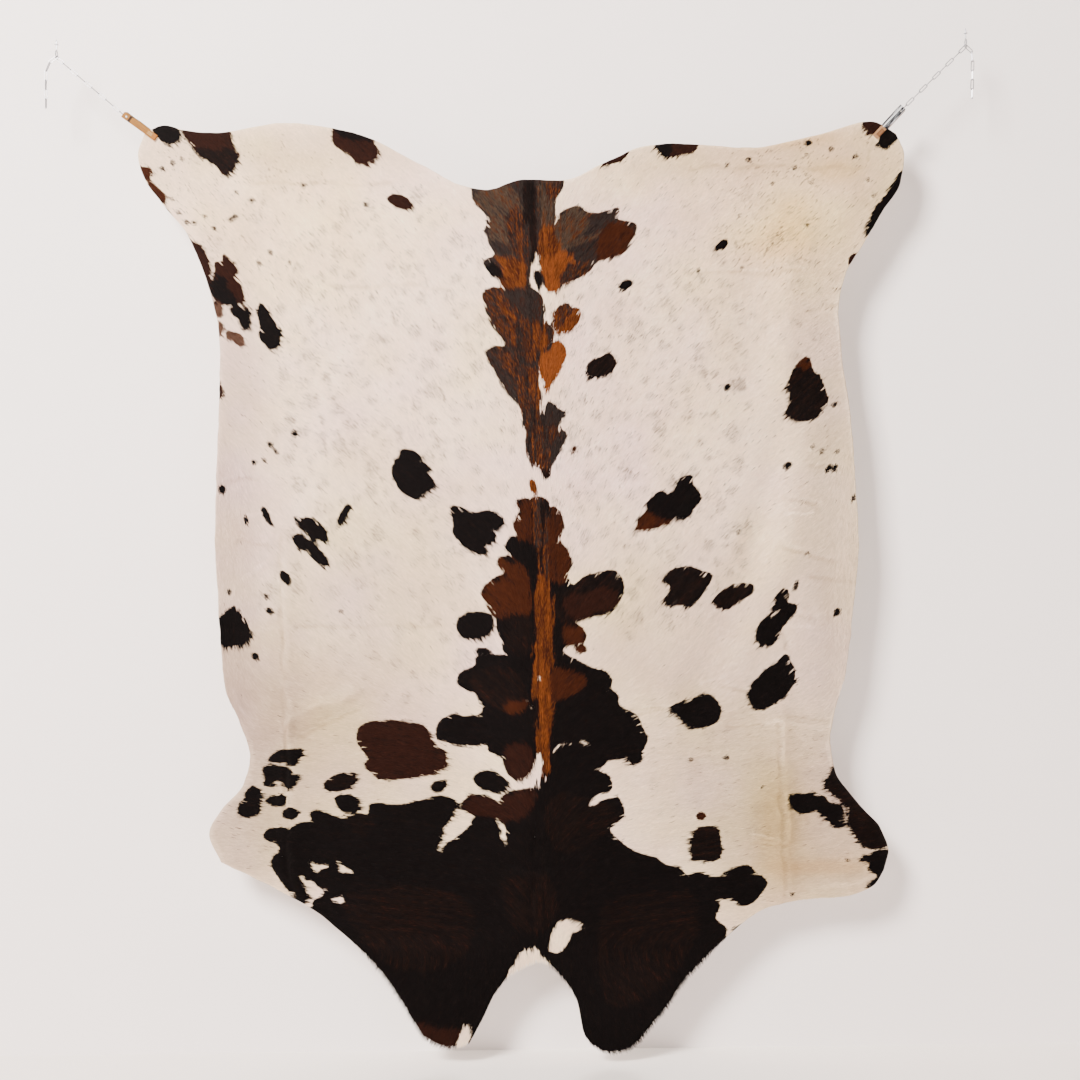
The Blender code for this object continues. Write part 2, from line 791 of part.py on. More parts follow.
def main():
    for obj in list(bpy.data.objects):
        bpy.data.objects.remove(obj, do_unlink=True)

    skin = material("hide", (0.78, 0.72, 0.64), 0.55)
    wood = material("clip_wood", (0.66, 0.42, 0.22), 0.5)
    chrome = material("clip_chrome", (0.80, 0.80, 0.82), 0.15, 1.0)
    rivet_steel = material("rivet_steel", (0.62, 0.61, 0.60), 0.3, 1.0)
    eye_steel = material("eye_steel", (0.20, 0.19, 0.19), 0.35, 1.0)
    chain_steel = material("chain_steel", (0.74, 0.74, 0.76), 0.25, 1.0)
    hook_steel = material("hook_steel", (0.70, 0.71, 0.72), 0.25, 1.0)

    make_hide(skin)
    link = link_mesh(chain_steel)
    for side in SIDES:
        name, sprung = side[0], side[4]
        matrix = clip_matrix(side)
        make_hook(side, hook_steel)
        make_chains(side, link)
        # towards the clip's upper side, whichever way the clip leans
        shift = JAW_SHIFT if math.cos(math.radians(side[3])) > 0 else -JAW_SHIFT
        front, back = (shift, 0.0) if sprung == "front" else (0.0, shift)
        jaw(f"clip_{name}_jaw_front", True, front, wood, matrix)
        jaw(f"clip_{name}_jaw_back", False, back, wood, matrix)
        spring(f"clip_{name}_spring", sprung == "front", shift, chrome, matrix)
        rivet(f"clip_{name}_rivet", sprung == "front", rivet_steel, matrix)
        eye(f"clip_{name}_eye", side, eye_steel, matrix)


main()
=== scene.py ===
"""Looks of the whole cowhide rug that hangs from two clips.

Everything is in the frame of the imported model: metres, +Z up, the hair side
towards -Y. Tables are in millimetres.
"""

import math

import bmesh
import bpy
import numpy as np
from mathutils import Matrix, Vector


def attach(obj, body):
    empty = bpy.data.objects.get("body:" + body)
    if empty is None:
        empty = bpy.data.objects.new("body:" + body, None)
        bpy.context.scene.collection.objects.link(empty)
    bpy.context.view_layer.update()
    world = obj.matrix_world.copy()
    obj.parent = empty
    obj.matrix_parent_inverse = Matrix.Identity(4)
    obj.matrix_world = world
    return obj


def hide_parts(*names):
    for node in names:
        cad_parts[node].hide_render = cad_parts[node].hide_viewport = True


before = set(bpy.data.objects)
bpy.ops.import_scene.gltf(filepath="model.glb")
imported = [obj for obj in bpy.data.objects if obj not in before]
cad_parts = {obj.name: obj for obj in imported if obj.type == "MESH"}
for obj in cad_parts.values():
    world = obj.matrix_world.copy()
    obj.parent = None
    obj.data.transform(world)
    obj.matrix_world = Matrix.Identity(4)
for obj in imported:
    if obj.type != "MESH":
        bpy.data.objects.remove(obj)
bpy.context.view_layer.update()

MM = 0.001
SEED = 724

# ------------------------------------------------------------ the hide's form
HIDE_THICKNESS = 3.0
SKIN_COLUMNS = 252  # both even: the flesh side has half as many
SKIN_ROWS = 296
SPIKES = 640000  # locks of hair
HAIR_LENGTH = 16.0
LOCK_WIDTH = 1.7

HOOK_SPAN = 2209.0
HOOK_BEND_RADIUS = 8.0
HOOK_NECK = 16.0
HOOK_TO_CLIP = 214.0
CLIP_LENGTH = 99.0
JAW_WIDTH = 15.5
JAW_THICK = 5.5
JAW_SHIFT = 2.5
SPRING_LENGTH = 68.0
GAP = 0.35

TOP_EDGE = (  # place, x, z
    ("left_foreleg_corner", 213, -217),
    ("left_foreleg_rise", 261, -200),
    ("left_foreleg_step", 308, -212),
    ("left_foreleg_dip", 380, -220),
    ("left_shoulder_crown", 548, -200),
    ("left_shoulder_slope", 730, -229),
    ("left_neck_slope", 880, -302),
    ("left_nape_edge", 985, -357),
    ("left_nape_low", 1042, -367),
    ("nape_rise", 1130, -342),
    ("nape_flat", 1224, -345),
    ("right_neck_slope", 1339, -299),
    ("right_shoulder_turn", 1422, -267),
    ("right_shoulder_crown", 1485, -260),
    ("right_shoulder_dip", 1680, -273),
    ("right_foreleg_slope", 1833, -247),
    ("right_foreleg_crown", 1978, -212),
    ("right_foreleg_corner", 2037, -243),
)
LEFT_SIDE = (  # place, z, x
    ("foreleg_corner", -217, 213),
    ("foreleg_end", -271, 195),
    ("foreleg_turn", -330, 211),
    ("foreleg_under", -398, 259),
    ("armpit_slope", -469, 314),
    ("armpit", -604, 365),
    ("chest_edge", -695, 385),
    ("chest", -780, 388),
    ("belly_upper", -942, 383),
    ("belly", -1209, 372),
    ("belly_lower", -1411, 380),
    ("flank_upper", -1569, 392),
    ("flank_slope", -1645, 423),
    ("flank_hollow", -1733, 449),
    ("thigh_upper", -1803, 433),
    ("thigh_out", -1863, 379),
    ("hind_leg_end", -1921, 349),
    ("hind_leg_corner", -1992, 376),
)
RIGHT_SIDE = (  # place, z, x
    ("foreleg_corner", -243, 2037),
    ("foreleg_end", -296, 2056),
    ("foreleg_turn", -365, 2045),
    ("foreleg_under", -435, 1998),
    ("armpit_slope", -507, 1956),
    ("armpit", -584, 1909),
    ("chest_edge", -676, 1891),
    ("chest", -803, 1899),
    ("belly_upper", -937, 1917),
    ("belly", -1087, 1924),
    ("belly_widest", -1228, 1930),
    ("belly_lower", -1396, 1916),
    ("flank_upper", -1546, 1897),
    ("flank_slope", -1646, 1869),
    ("flank_hollow", -1710, 1858),
    ("thigh_upper", -1784, 1867),
    ("thigh_out", -1865, 1922),
    ("thigh_step", -1931, 1979),
    ("hind_leg_end", -1985, 1998),
    ("hind_leg_corner", -2030, 1986),
)
BOTTOM_EDGE = (  # place, x, z
    ("left_hind_corner", 376, -1992),
    ("left_thigh_edge", 498, -2051),
    ("left_thigh_turn", 590, -2103),
    ("left_shank_upper", 681, -2175),
    ("left_shank", 763, -2256),
    ("left_shank_lower", 825, -2349),
    ("left_foot_outer", 872, -2421),
    ("left_foot", 936, -2441),
    ("left_foot_inner", 970, -2433),
    ("left_inner_lower", 1000, -2387),
    ("left_inner", 1046, -2301),
    ("crotch_left", 1081, -2263),
    ("crotch_top", 1147, -2237),
    ("crotch_right", 1212, -2291),
    ("right_inner", 1238, -2345),
    ("right_inner_lower", 1250, -2412),
    ("right_foot_inner", 1271, -2440),
    ("right_foot", 1312, -2458),
    ("right_foot_outer", 1353, -2451),
    ("right_shank_lower", 1430, -2376),
    ("right_shank", 1506, -2273),
    ("right_shank_upper", 1590, -2194),
    ("right_thigh_turn", 1693, -2121),
    ("right_thigh_edge", 1785, -2099),
    ("right_hind_edge", 1892, -2092),
    ("right_hind_turn", 1960, -2067),
    ("right_hind_corner", 1986, -2030),
)
FOLDS = (  # name, x0, z0, x1, z1, half_width, rise
    ("right_trough_upper", 1760, -935, 1695, -1220, 52, -13),
    ("right_trough_lower", 1695, -1220, 1545, -1590, 46, -13),
    ("right_ridge_upper", 1790, -1040, 1735, -1275, 48, 7),
    ("right_ridge_lower", 1735, -1275, 1625, -1565, 42, 7),
    ("right_tension_ridge", 1965, -345, 1770, -585, 44, 7),
    ("right_shoulder_ridge", 1770, -585, 1756, -820, 38, 8),
    ("right_shoulder_trough", 1690, -600, 1672, -930, 62, -9),
    ("left_tension_ridge", 285, -285, 500, -520, 46, 6),
    ("left_armpit_ridge", 300, -330, 425, -640, 36, 4),
    ("left_belly_fold", 520, -1210, 540, -2060, 34, 5),
    ("right_flank_crease", 1740, -1640, 1735, -2060, 28, 5),
    ("left_flank_ridge", 545, -1655, 690, -1588, 26, 7),
    ("rump_valley", 1150, -2235, 1165, -1960, 60, -6),
    ("left_shank_ridge", 720, -2110, 930, -2400, 80, 9),
    ("right_shank_ridge", 1560, -2120, 1320, -2410, 80, 8),
)
CURLS = (  # name, axis, from_mm, over_mm, forward, low_end, high_end
    ("right_belly_edge", "+x", 1858, 62, 11, -1720, -560),
    ("left_belly_edge", "-x", 440, 66, 7, -1700, -760),
    ("left_shoulder_top", "+z", -345, 140, 9, 430, 900),
    ("right_shoulder_top", "+z", -330, 75, 7, 1400, 1930),
    ("right_hind_leg", "+x", 1880, 110, -9, -2080, -1840),
    ("left_hind_leg", "-x", 450, 100, 8, -2020, -1820),
)
BODY_BOW = 12.0
SPINE = (1170.0, -355.0, 1150.0, -2240.0)
GRIP_FLAT = 42.0
GRIP_EASE = 190.0
# Fine creases and packing lines, too small for the solid.
CREASES = (  # name, x0, z0, x1, z1, half_width, rise
    ("left_belly_line", 524, -1199, 534, -2069, 9.0, -3.9),
    ("left_belly_line_lip", 535, -1259, 544, -2037, 9.0, 2.8),
    ("right_flank_line_top", 1746, -1430, 1754, -1486, 6.0, -3.7),
    ("right_flank_line_a", 1734, -1661, 1731, -1761, 6.0, -5.1),
    ("right_flank_line_b", 1731, -1753, 1739, -1858, 6.0, -3.4),
    ("right_flank_line_c", 1737, -1848, 1741, -1960, 6.0, -5.5),
    ("right_flank_line_d", 1741, -1967, 1743, -2113, 6.0, -3.9),
    ("right_flank_lip_a", 1743, -1668, 1744, -1741, 8.0, 2.1),
    ("right_flank_lip_b", 1751, -1863, 1752, -1950, 8.0, 2.5),
    ("right_flank_cross_up_a", 1611, -1674, 1689, -1670, 6.0, -3.7),
    ("right_flank_cross_up_b", 1681, -1670, 1735, -1660, 6.0, 3.4),
    ("right_flank_cross_up_c", 1737, -1662, 1839, -1687, 6.0, 3.7),
    ("right_flank_cross_up_d", 1735, -1651, 1847, -1665, 6.0, -2.3),
    ("right_flank_cross", 1671, -1940, 1743, -1958, 6.0, 3.7),
    ("right_flank_cross_under", 1678, -1962, 1758, -1967, 6.0, -3.7),
    ("right_hind_tuck", 1693, -2108, 1739, -2106, 7.0, 4.1),
    ("left_flank_crest_a", 542, -1653, 615, -1608, 9.0, 5.5),
    ("left_flank_crest_b", 615, -1608, 698, -1582, 9.0, 6.2),
    ("left_flank_crest_c", 544, -1648, 546, -1712, 6.0, 4.1),
    ("left_flank_hollow", 571, -1688, 707, -1626, 10.0, -3.7),
    ("left_belly_wrinkle_a", 453, -1152, 490, -1147, 6.0, 4.6),
    ("left_belly_wrinkle_b", 437, -1300, 508, -1259, 6.0, 4.1),
    ("left_belly_wrinkle_c", 431, -1212, 494, -1213, 7.0, -3.7),
    ("left_belly_wrinkle_d", 384, -1066, 472, -1055, 7.0, -3.7),
    ("left_belly_wrinkle_e", 467, -1424, 520, -1417, 7.0, 4.6),
    ("left_belly_wrinkle_f", 435, -1030, 447, -1054, 6.0, 3.4),
    ("left_belly_wrinkle_g", 407, -1574, 450, -1642, 6.0, 2.8),
    ("right_belly_wrinkle_a", 1761, -1129, 1829, -1140, 6.0, -4.4),
    ("right_belly_wrinkle_b", 1761, -1163, 1821, -1159, 7.0, 3.7),
    ("right_belly_wrinkle_c", 1762, -1404, 1826, -1414, 6.0, -4.1),
    ("right_belly_wrinkle_d", 1762, -1426, 1813, -1436, 6.0, 3.0),
    ("right_belly_wrinkle_e", 1823, -1047, 1886, -1055, 7.0, -3.4),
    ("right_belly_wrinkle_f", 1760, -1238, 1871, -1279, 9.0, -3.4),
    ("right_belly_wrinkle_g", 1824, -1312, 1919, -1325, 9.0, -3.0),
    ("right_edge_pinch", 1823, -671, 1884, -659, 6.0, -4.1),
    ("right_flank_wrinkle_a", 1602, -1577, 1665, -1592, 7.0, -3.7),
    ("right_flank_wrinkle_b", 1554, -1569, 1610, -1543, 8.0, 3.4),
    ("right_flank_wrinkle_c", 1543, -1654, 1665, -1621, 8.0, 2.8),
    ("right_flank_wrinkle_d", 1732, -1663, 1883, -1685, 9.0, 3.2),
    ("rump_line_a", 1186, -1615, 1475, -1629, 7.0, -3.2),
    ("rump_line_b", 1065, -2010, 1296, -2003, 8.0, -3.4),
    ("rump_line_c", 984, -1681, 1105, -1682, 8.0, -2.3),
    ("rump_median_low", 1140, -1826, 1138, -2132, 6.0, -4.1),
    ("left_neck_line", 652, -590, 927, -594, 8.0, -2.8),
    ("right_neck_line", 1532, -567, 1800, -573, 8.0, -2.8),
    ("belly_line_left", 574, -1418, 914, -1415, 8.0, -2.3),
    ("belly_line_right", 1300, -1639, 1543, -1632, 8.0, -2.5),
    ("right_hind_crest", 1820, -2073, 1946, -2052, 8.0, 3.9),
    ("right_grip_crease", 1971, -301, 1981, -257, 6.0, -2.8),
    ("left_top_roll", 471, -340, 801, -349, 9.0, -2.8),
    ("right_top_roll", 1545, -315, 1949, -320, 9.0, -2.8),
    ("left_thigh_line", 521, -1952, 549, -2069, 6.0, -3.7),
)

# ---------------------------------------------------------------- the coat
# Later markings lie over earlier ones. Corners are joined by a soft curve.
MARKINGS = (  # name, tone, corners as (x, z)
    ("left_foreleg_end", "black", ((226, -208), (234, -198), (252, -193), (269, -193), (283, -199),
        (295, -211), (298, -225), (294, -237), (281, -246), (265, -245), (251, -238),
        (239, -225))),
    ("left_shoulder_wedge", "brown", ((303, -209), (334, -210), (412, -206), (421, -227),
        (428, -256), (437, -280), (429, -304), (415, -321), (398, -320), (386, -303), (348, -279),
        (324, -250))),
    ("left_shoulder_wedge_low", "dark", ((336, -256), (375, -261), (409, -257), (433, -264),
        (438, -280), (430, -304), (415, -321), (398, -321), (386, -303), (352, -281))),
    ("left_crown", "brown", ((671, -209), (685, -202), (762, -227), (778, -270), (775, -284),
        (747, -301), (723, -296), (704, -274), (677, -259), (668, -244))),
    ("left_crown_shade", "black", ((667, -206), (699, -202), (764, -232), (749, -242),
        (686, -236))),
    ("left_withers_spot", "brown", ((798, -382), (813, -374), (835, -376), (852, -386),
        (860, -401), (854, -412), (834, -410), (813, -400), (801, -392))),
    ("left_foreleg_rim_a", "redbrown", ((189, -295), (202, -299), (223, -304), (223, -330),
        (220, -334), (199, -327))),
    ("left_foreleg_rim_b", "redbrown", ((218, -334), (239, -349), (263, -374), (260, -393),
        (274, -410), (259, -410), (223, -373))),
    ("left_armpit_rim", "brown", ((304, -457), (336, -490), (345, -493), (355, -509), (366, -534),
        (368, -567), (363, -596), (341, -577), (318, -491))),
    ("left_armpit_top", "brown", ((378, -534), (396, -532), (396, -517), (403, -515), (422, -534),
        (431, -568), (445, -597), (449, -636), (437, -638), (425, -626), (416, -621), (406, -635),
        (387, -630), (370, -611), (366, -587), (366, -572), (378, -558))),
    ("left_armpit_dark", "black", ((371, -565), (395, -570), (412, -602), (428, -631), (406, -637),
        (387, -632), (368, -611), (363, -587))),
    ("left_armpit_tail", "black", ((416, -626), (440, -640), (459, -645), (462, -684), (453, -700),
        (439, -698), (430, -674), (418, -659))),
    ("left_armpit_pale_a", "pale", ((372, -632), (392, -633), (395, -654), (391, -669),
        (382, -666), (375, -650))),
    ("left_armpit_pale_b", "pale", ((384, -677), (398, -688), (393, -707), (386, -718))),
    ("left_armpit_pale_c", "pale", ((403, -702), (415, -702), (439, -708), (447, -717),
        (443, -737), (429, -736), (417, -722), (405, -724))),
    ("left_chest_drop", "black", ((485, -636), (497, -641), (516, -670), (528, -694), (537, -692),
        (540, -709), (530, -740), (513, -749), (496, -737), (484, -718), (485, -684),
        (480, -660))),
    ("left_chest_rim", "brown", ((380, -818), (387, -823), (396, -851), (386, -871),
        (377, -869))),
    ("right_nape_rim", "brown", ((1317, -312), (1348, -283), (1389, -269), (1384, -287),
        (1368, -302), (1338, -309))),
    ("right_crown_rim", "brown", ((1459, -255), (1558, -257), (1552, -277), (1530, -285),
        (1479, -293), (1462, -281))),
    ("right_crown_rim_dark", "black", ((1451, -253), (1493, -253), (1487, -290), (1477, -294),
        (1462, -282))),
    ("right_foreleg_tip_a", "brown", ((1954, -215), (1979, -204), (2004, -204), (2006, -225),
        (1986, -245), (1971, -237))),
    ("right_foreleg_tip_b", "black", ((1998, -245), (2014, -226), (2039, -245), (2043, -255),
        (2023, -270), (2013, -280), (1994, -270))),
    ("right_foreleg_rim", "black", ((2063, -328), (2053, -331), (2043, -336), (2032, -361),
        (2007, -391), (1996, -401), (1986, -416), (1973, -451), (1961, -490), (1986, -461),
        (2020, -418), (2052, -387), (2065, -355))),
    ("right_armpit_rim", "brown", ((1934, -531), (1926, -536), (1918, -545), (1919, -560),
        (1936, -543))),
    ("right_shoulder_spot", "black", ((1596, -510), (1606, -497), (1618, -493), (1627, -500),
        (1623, -510), (1611, -518), (1599, -517))),
    ("right_neck_spot", "black", ((1359, -604), (1369, -593), (1386, -590), (1393, -597),
        (1387, -608), (1371, -613), (1361, -611))),
    ("right_back_spot", "dark", ((1278, -805), (1282, -795), (1291, -786), (1306, -778),
        (1321, -771), (1332, -766), (1340, -771), (1349, -780), (1350, -792), (1346, -806),
        (1335, -815), (1318, -823), (1301, -825), (1286, -822), (1279, -813))),
    ("right_chest_patch", "dark", ((1813, -786), (1825, -804), (1833, -822), (1845, -827),
        (1855, -852), (1865, -883), (1859, -908), (1839, -930), (1798, -940), (1763, -922),
        (1771, -887), (1767, -856), (1775, -816), (1795, -799))),
    ("right_chest_tip", "redbrown", ((1813, -780), (1826, -804), (1811, -809), (1794, -799))),
    ("nape", "smoke", ((1004, -357), (1020, -349), (1122, -319), (1224, -335), (1229, -350),
        (1225, -367), (1205, -388), (1208, -413), (1205, -447), (1216, -425), (1248, -413),
        (1271, -412), (1281, -423), (1310, -430), (1329, -423), (1359, -417), (1356, -439),
        (1383, -446), (1404, -456), (1397, -481), (1390, -500), (1374, -522), (1327, -535),
        (1300, -546), (1286, -569), (1230, -592), (1214, -609), (1199, -614), (1181, -607),
        (1170, -568), (1165, -543), (1159, -514), (1146, -548), (1141, -599), (1155, -611),
        (1164, -618), (1174, -630), (1182, -660), (1181, -688), (1195, -702), (1201, -719),
        (1189, -742), (1168, -762), (1160, -781), (1162, -819), (1168, -862), (1168, -903),
        (1183, -884), (1199, -889), (1207, -899), (1226, -909), (1217, -928), (1214, -944),
        (1230, -964), (1218, -989), (1199, -1025), (1179, -1044), (1169, -1041), (1159, -1024),
        (1149, -1038), (1139, -1024), (1127, -991), (1129, -955), (1120, -927), (1120, -896),
        (1106, -877), (1087, -838), (1067, -826), (1064, -810), (1034, -770), (1038, -755),
        (1054, -746), (1081, -746), (1078, -734), (1048, -702), (1045, -678), (1033, -651),
        (1030, -624), (1046, -615), (1050, -601), (1080, -603), (1056, -578), (1032, -554),
        (1031, -537), (1049, -530), (1058, -522), (1045, -500), (1040, -476), (1032, -469),
        (1038, -449), (1038, -427), (1007, -391))),
    ("nape_left_grey", "grey", ((1007, -381), (1049, -352), (1088, -353), (1117, -382),
        (1126, -421), (1120, -470), (1113, -518), (1071, -523), (1045, -498), (1040, -469),
        (1041, -427), (1019, -400))),
    ("nape_left_orange", "brindle", ((1092, -406), (1116, -402), (1130, -455), (1135, -514),
        (1138, -596), (1094, -606), (1063, -581), (1076, -528), (1098, -518), (1086, -477),
        (1085, -428))),
    ("nape_orange_low", "amber", ((1054, -530), (1076, -523), (1110, -533), (1134, -543),
        (1137, -601), (1090, -610), (1068, -591), (1078, -566), (1066, -542))),
    ("nape_spine", "dark", ((1127, -348), (1156, -344), (1160, -392), (1160, -478), (1158, -512),
        (1148, -543), (1143, -523), (1135, -446), (1126, -392))),
    ("nape_right_brindle", "grey", ((1168, -354), (1209, -354), (1209, -405), (1208, -447),
        (1193, -490), (1169, -485))),
    ("nape_right_tip", "brindle", ((1183, -349), (1219, -345), (1224, -364), (1207, -388),
        (1190, -383))),
    ("nape_left_lobe", "smoke", ((1047, -483), (1081, -489), (1101, -506), (1096, -523),
        (1066, -523), (1050, -503))),
    ("wing_brindle", "grey", ((1208, -437), (1233, -415), (1262, -408), (1286, -423), (1315, -428),
        (1330, -453), (1315, -487), (1280, -506), (1241, -510), (1212, -510), (1207, -471))),
    ("wing_edge", "smoke", ((1291, -428), (1311, -427), (1333, -420), (1362, -414), (1357, -441),
        (1330, -458), (1305, -472), (1281, -477), (1291, -452))),
    ("wing_mid", "smoke", ((1232, -515), (1266, -498), (1295, -487), (1320, -482), (1322, -506),
        (1314, -531), (1295, -545), (1270, -545), (1251, -535))),
    ("wing_tip", "redbrown", ((1315, -487), (1330, -458), (1357, -444), (1383, -446), (1405, -456),
        (1399, -481), (1390, -500), (1374, -523), (1327, -537), (1309, -530))),
    ("nape_right_orange", "orange", ((1166, -519), (1198, -505), (1217, -505), (1246, -520),
        (1253, -544), (1231, -568), (1221, -597), (1199, -615), (1182, -608), (1173, -558))),
    ("nape_right_orange_top", "amber", ((1164, -456), (1199, -446), (1213, -471), (1217, -507),
        (1198, -524), (1167, -524))),
    ("wing_lobe", "brindle", ((1231, -549), (1261, -537), (1295, -535), (1302, -547), (1287, -571),
        (1231, -596), (1221, -573))),
    ("nape_ear", "black", ((1030, -542), (1049, -543), (1066, -554), (1075, -569), (1073, -580),
        (1058, -583), (1039, -564))),
    ("heart_dark", "smoke", ((1070, -603), (1129, -601), (1162, -619), (1177, -645), (1176, -679),
        (1152, -689), (1118, -674), (1089, -639))),
    ("heart_brindle", "brindle", ((1026, -619), (1060, -603), (1089, -630), (1118, -664),
        (1152, -684), (1176, -679), (1188, -699), (1195, -719), (1168, -757), (1141, -781),
        (1097, -751), (1059, -717), (1040, -678))),
    ("heart_streak", "amber", ((1055, -634), (1089, -654), (1118, -679), (1098, -678),
        (1070, -656))),
    ("leaf", "orange", ((1212, -735), (1228, -751), (1230, -772), (1211, -809), (1196, -835),
        (1181, -852), (1170, -847), (1165, -808), (1160, -773), (1173, -750), (1190, -745))),
    ("leaf_above", "amber", ((1166, -708), (1183, -704), (1188, -738), (1165, -762),
        (1158, -745))),
    ("back_brindle", "brindle", ((1037, -758), (1068, -746), (1093, -756), (1121, -786),
        (1150, -796), (1162, -830), (1166, -879), (1166, -932), (1212, -937), (1216, -986),
        (1196, -1025), (1176, -1044), (1157, -1039), (1131, -1005), (1124, -927), (1106, -878),
        (1082, -834), (1053, -795))),
    ("back_brindle_dark", "smoke", ((1034, -758), (1046, -758), (1068, -790), (1087, -819),
        (1101, -853), (1106, -875), (1094, -873), (1067, -829), (1039, -780))),
    ("back_right_dark", "smoke", ((1204, -967), (1228, -964), (1218, -991), (1199, -1025),
        (1181, -1039), (1187, -1005))),
    ("pair_dark", "brindle", ((1202, -669), (1213, -650), (1237, -645), (1244, -660), (1242, -680),
        (1224, -702), (1210, -711), (1201, -699))),
    ("pair_orange", "amber", ((1237, -660), (1252, -655), (1264, -659), (1266, -677), (1254, -697),
        (1240, -709), (1221, -714), (1211, -708), (1220, -692), (1233, -678))),
    ("bit_a", "dark", ((1169, -1044), (1185, -1044), (1183, -1064), (1179, -1072),
        (1169, -1063))),
    ("bit_b", "amber", ((1135, -1075), (1141, -1070), (1152, -1083), (1154, -1104), (1149, -1108),
        (1138, -1095))),
    ("bit_c", "redbrown", ((1239, -1001), (1245, -991), (1251, -995), (1250, -1004),
        (1241, -1008))),
    ("inlet_spot", "black", ((1153, -570), (1160, -564), (1168, -567), (1172, -580), (1172, -594),
        (1167, -607), (1161, -604), (1155, -589))),
    ("left_back_disc", "black", ((828, -993), (856, -998), (878, -1016), (866, -1024),
        (884, -1028), (904, -1047), (892, -1053), (904, -1069), (903, -1089), (883, -1099),
        (861, -1117), (839, -1106), (819, -1096), (811, -1076), (803, -1059), (801, -1039),
        (811, -1019), (822, -1011), (822, -997))),
    ("left_loin_patch", "black", ((942, -1138), (954, -1132), (980, -1139), (1004, -1149),
        (1026, -1145), (1046, -1147), (1074, -1171), (1058, -1192), (1040, -1190), (1058, -1208),
        (1027, -1232), (1033, -1250), (1009, -1251), (977, -1238), (959, -1219), (947, -1194),
        (949, -1170))),
    ("left_rib_seed", "black", ((689, -1129), (700, -1125), (704, -1133), (694, -1152),
        (684, -1171), (675, -1176), (668, -1168), (676, -1147))),
    ("left_pair_upper", "black", ((566, -1151), (584, -1158), (604, -1156), (624, -1170),
        (640, -1186), (646, -1196), (636, -1215), (620, -1216), (604, -1210), (592, -1190),
        (572, -1177), (564, -1165))),
    ("left_pair_lower", "black", ((561, -1202), (578, -1194), (595, -1210), (615, -1220),
        (632, -1243), (649, -1265), (639, -1275), (615, -1265), (599, -1248), (593, -1234),
        (575, -1236), (563, -1222))),
    ("left_belly_seed_a", "black", ((485, -1132), (491, -1129), (500, -1138), (507, -1160),
        (511, -1172), (505, -1175), (496, -1162), (487, -1147))),
    ("left_belly_seed_b", "black", ((442, -1154), (447, -1149), (451, -1161), (449, -1172),
        (443, -1168))),
    ("left_belly_seed_c", "black", ((529, -1286), (539, -1284), (550, -1295), (553, -1308),
        (548, -1318), (536, -1313), (528, -1301))),
    ("left_edge_black", "black", ((365, -1403), (380, -1396), (395, -1384), (416, -1367),
        (431, -1389), (450, -1415), (452, -1450), (419, -1467), (384, -1469), (364, -1466))),
    ("rump", "black", ((1111, -1122), (1127, -1119), (1139, -1122), (1145, -1116), (1162, -1129),
        (1163, -1119), (1171, -1124), (1179, -1141), (1194, -1137), (1209, -1149), (1215, -1173),
        (1220, -1194), (1205, -1218), (1225, -1238), (1234, -1262), (1234, -1290), (1226, -1302),
        (1243, -1332), (1265, -1309), (1295, -1300), (1319, -1294), (1339, -1294), (1360, -1318),
        (1360, -1352), (1337, -1389), (1306, -1397), (1276, -1407), (1236, -1414), (1252, -1426),
        (1270, -1449), (1263, -1466), (1232, -1468), (1215, -1489), (1231, -1500), (1253, -1512),
        (1285, -1529), (1315, -1538), (1333, -1560), (1328, -1578), (1347, -1599), (1347, -1621),
        (1390, -1644), (1404, -1674), (1417, -1705), (1404, -1730), (1401, -1749), (1398, -1761),
        (1373, -1763), (1362, -1747), (1317, -1755), (1308, -1767), (1295, -1777), (1320, -1789),
        (1330, -1816), (1320, -1831), (1294, -1835), (1272, -1859), (1316, -1842), (1341, -1841),
        (1355, -1868), (1357, -1890), (1321, -1918), (1340, -1943), (1367, -1966), (1396, -1982),
        (1431, -1991), (1456, -2009), (1492, -2020), (1511, -2037), (1530, -2027), (1554, -2034),
        (1594, -2040), (1618, -2020), (1655, -2013), (1678, -2033), (1703, -2054), (1690, -2078),
        (1674, -2098), (1649, -2113), (1629, -2103), (1609, -2093), (1585, -2097), (1585, -2113),
        (1575, -2140), (1596, -2157), (1600, -2181), (1588, -2216), (1535, -2281), (1461, -2365),
        (1387, -2485), (1265, -2484), (1206, -2362), (1135, -2203), (1049, -2311), (974, -2468),
        (877, -2479), (757, -2356), (638, -2160), (565, -2123), (537, -2061), (507, -2021),
        (496, -1988), (518, -1962), (508, -1947), (480, -1934), (483, -1916), (497, -1909),
        (528, -1907), (543, -1912), (558, -1900), (595, -1890), (593, -1873), (612, -1866),
        (628, -1873), (668, -1883), (707, -1874), (733, -1879), (736, -1855), (772, -1851),
        (811, -1856), (846, -1849), (901, -1835), (931, -1838), (950, -1853), (940, -1882),
        (915, -1917), (908, -1940), (937, -1930), (961, -1911), (993, -1884), (964, -1868),
        (957, -1858), (977, -1838), (1021, -1832), (1047, -1852), (1060, -1835), (1077, -1825),
        (1121, -1819), (1140, -1802), (1143, -1773), (1138, -1765), (1121, -1787), (1097, -1796),
        (1074, -1786), (1065, -1752), (1053, -1739), (1027, -1730), (1025, -1710), (983, -1716),
        (935, -1712), (903, -1698), (904, -1663), (919, -1646), (945, -1636), (967, -1642),
        (1006, -1639), (1016, -1621), (1006, -1613), (997, -1591), (956, -1566), (959, -1538),
        (997, -1520), (1001, -1501), (1030, -1494), (1074, -1495), (1066, -1486), (1062, -1458),
        (1055, -1436), (1045, -1431), (1028, -1450), (999, -1455), (967, -1450), (954, -1430),
        (956, -1408), (975, -1394), (1007, -1389), (1036, -1395), (1050, -1404), (1029, -1377),
        (1016, -1346), (1027, -1324), (1052, -1305), (1075, -1293), (1061, -1281), (1057, -1260),
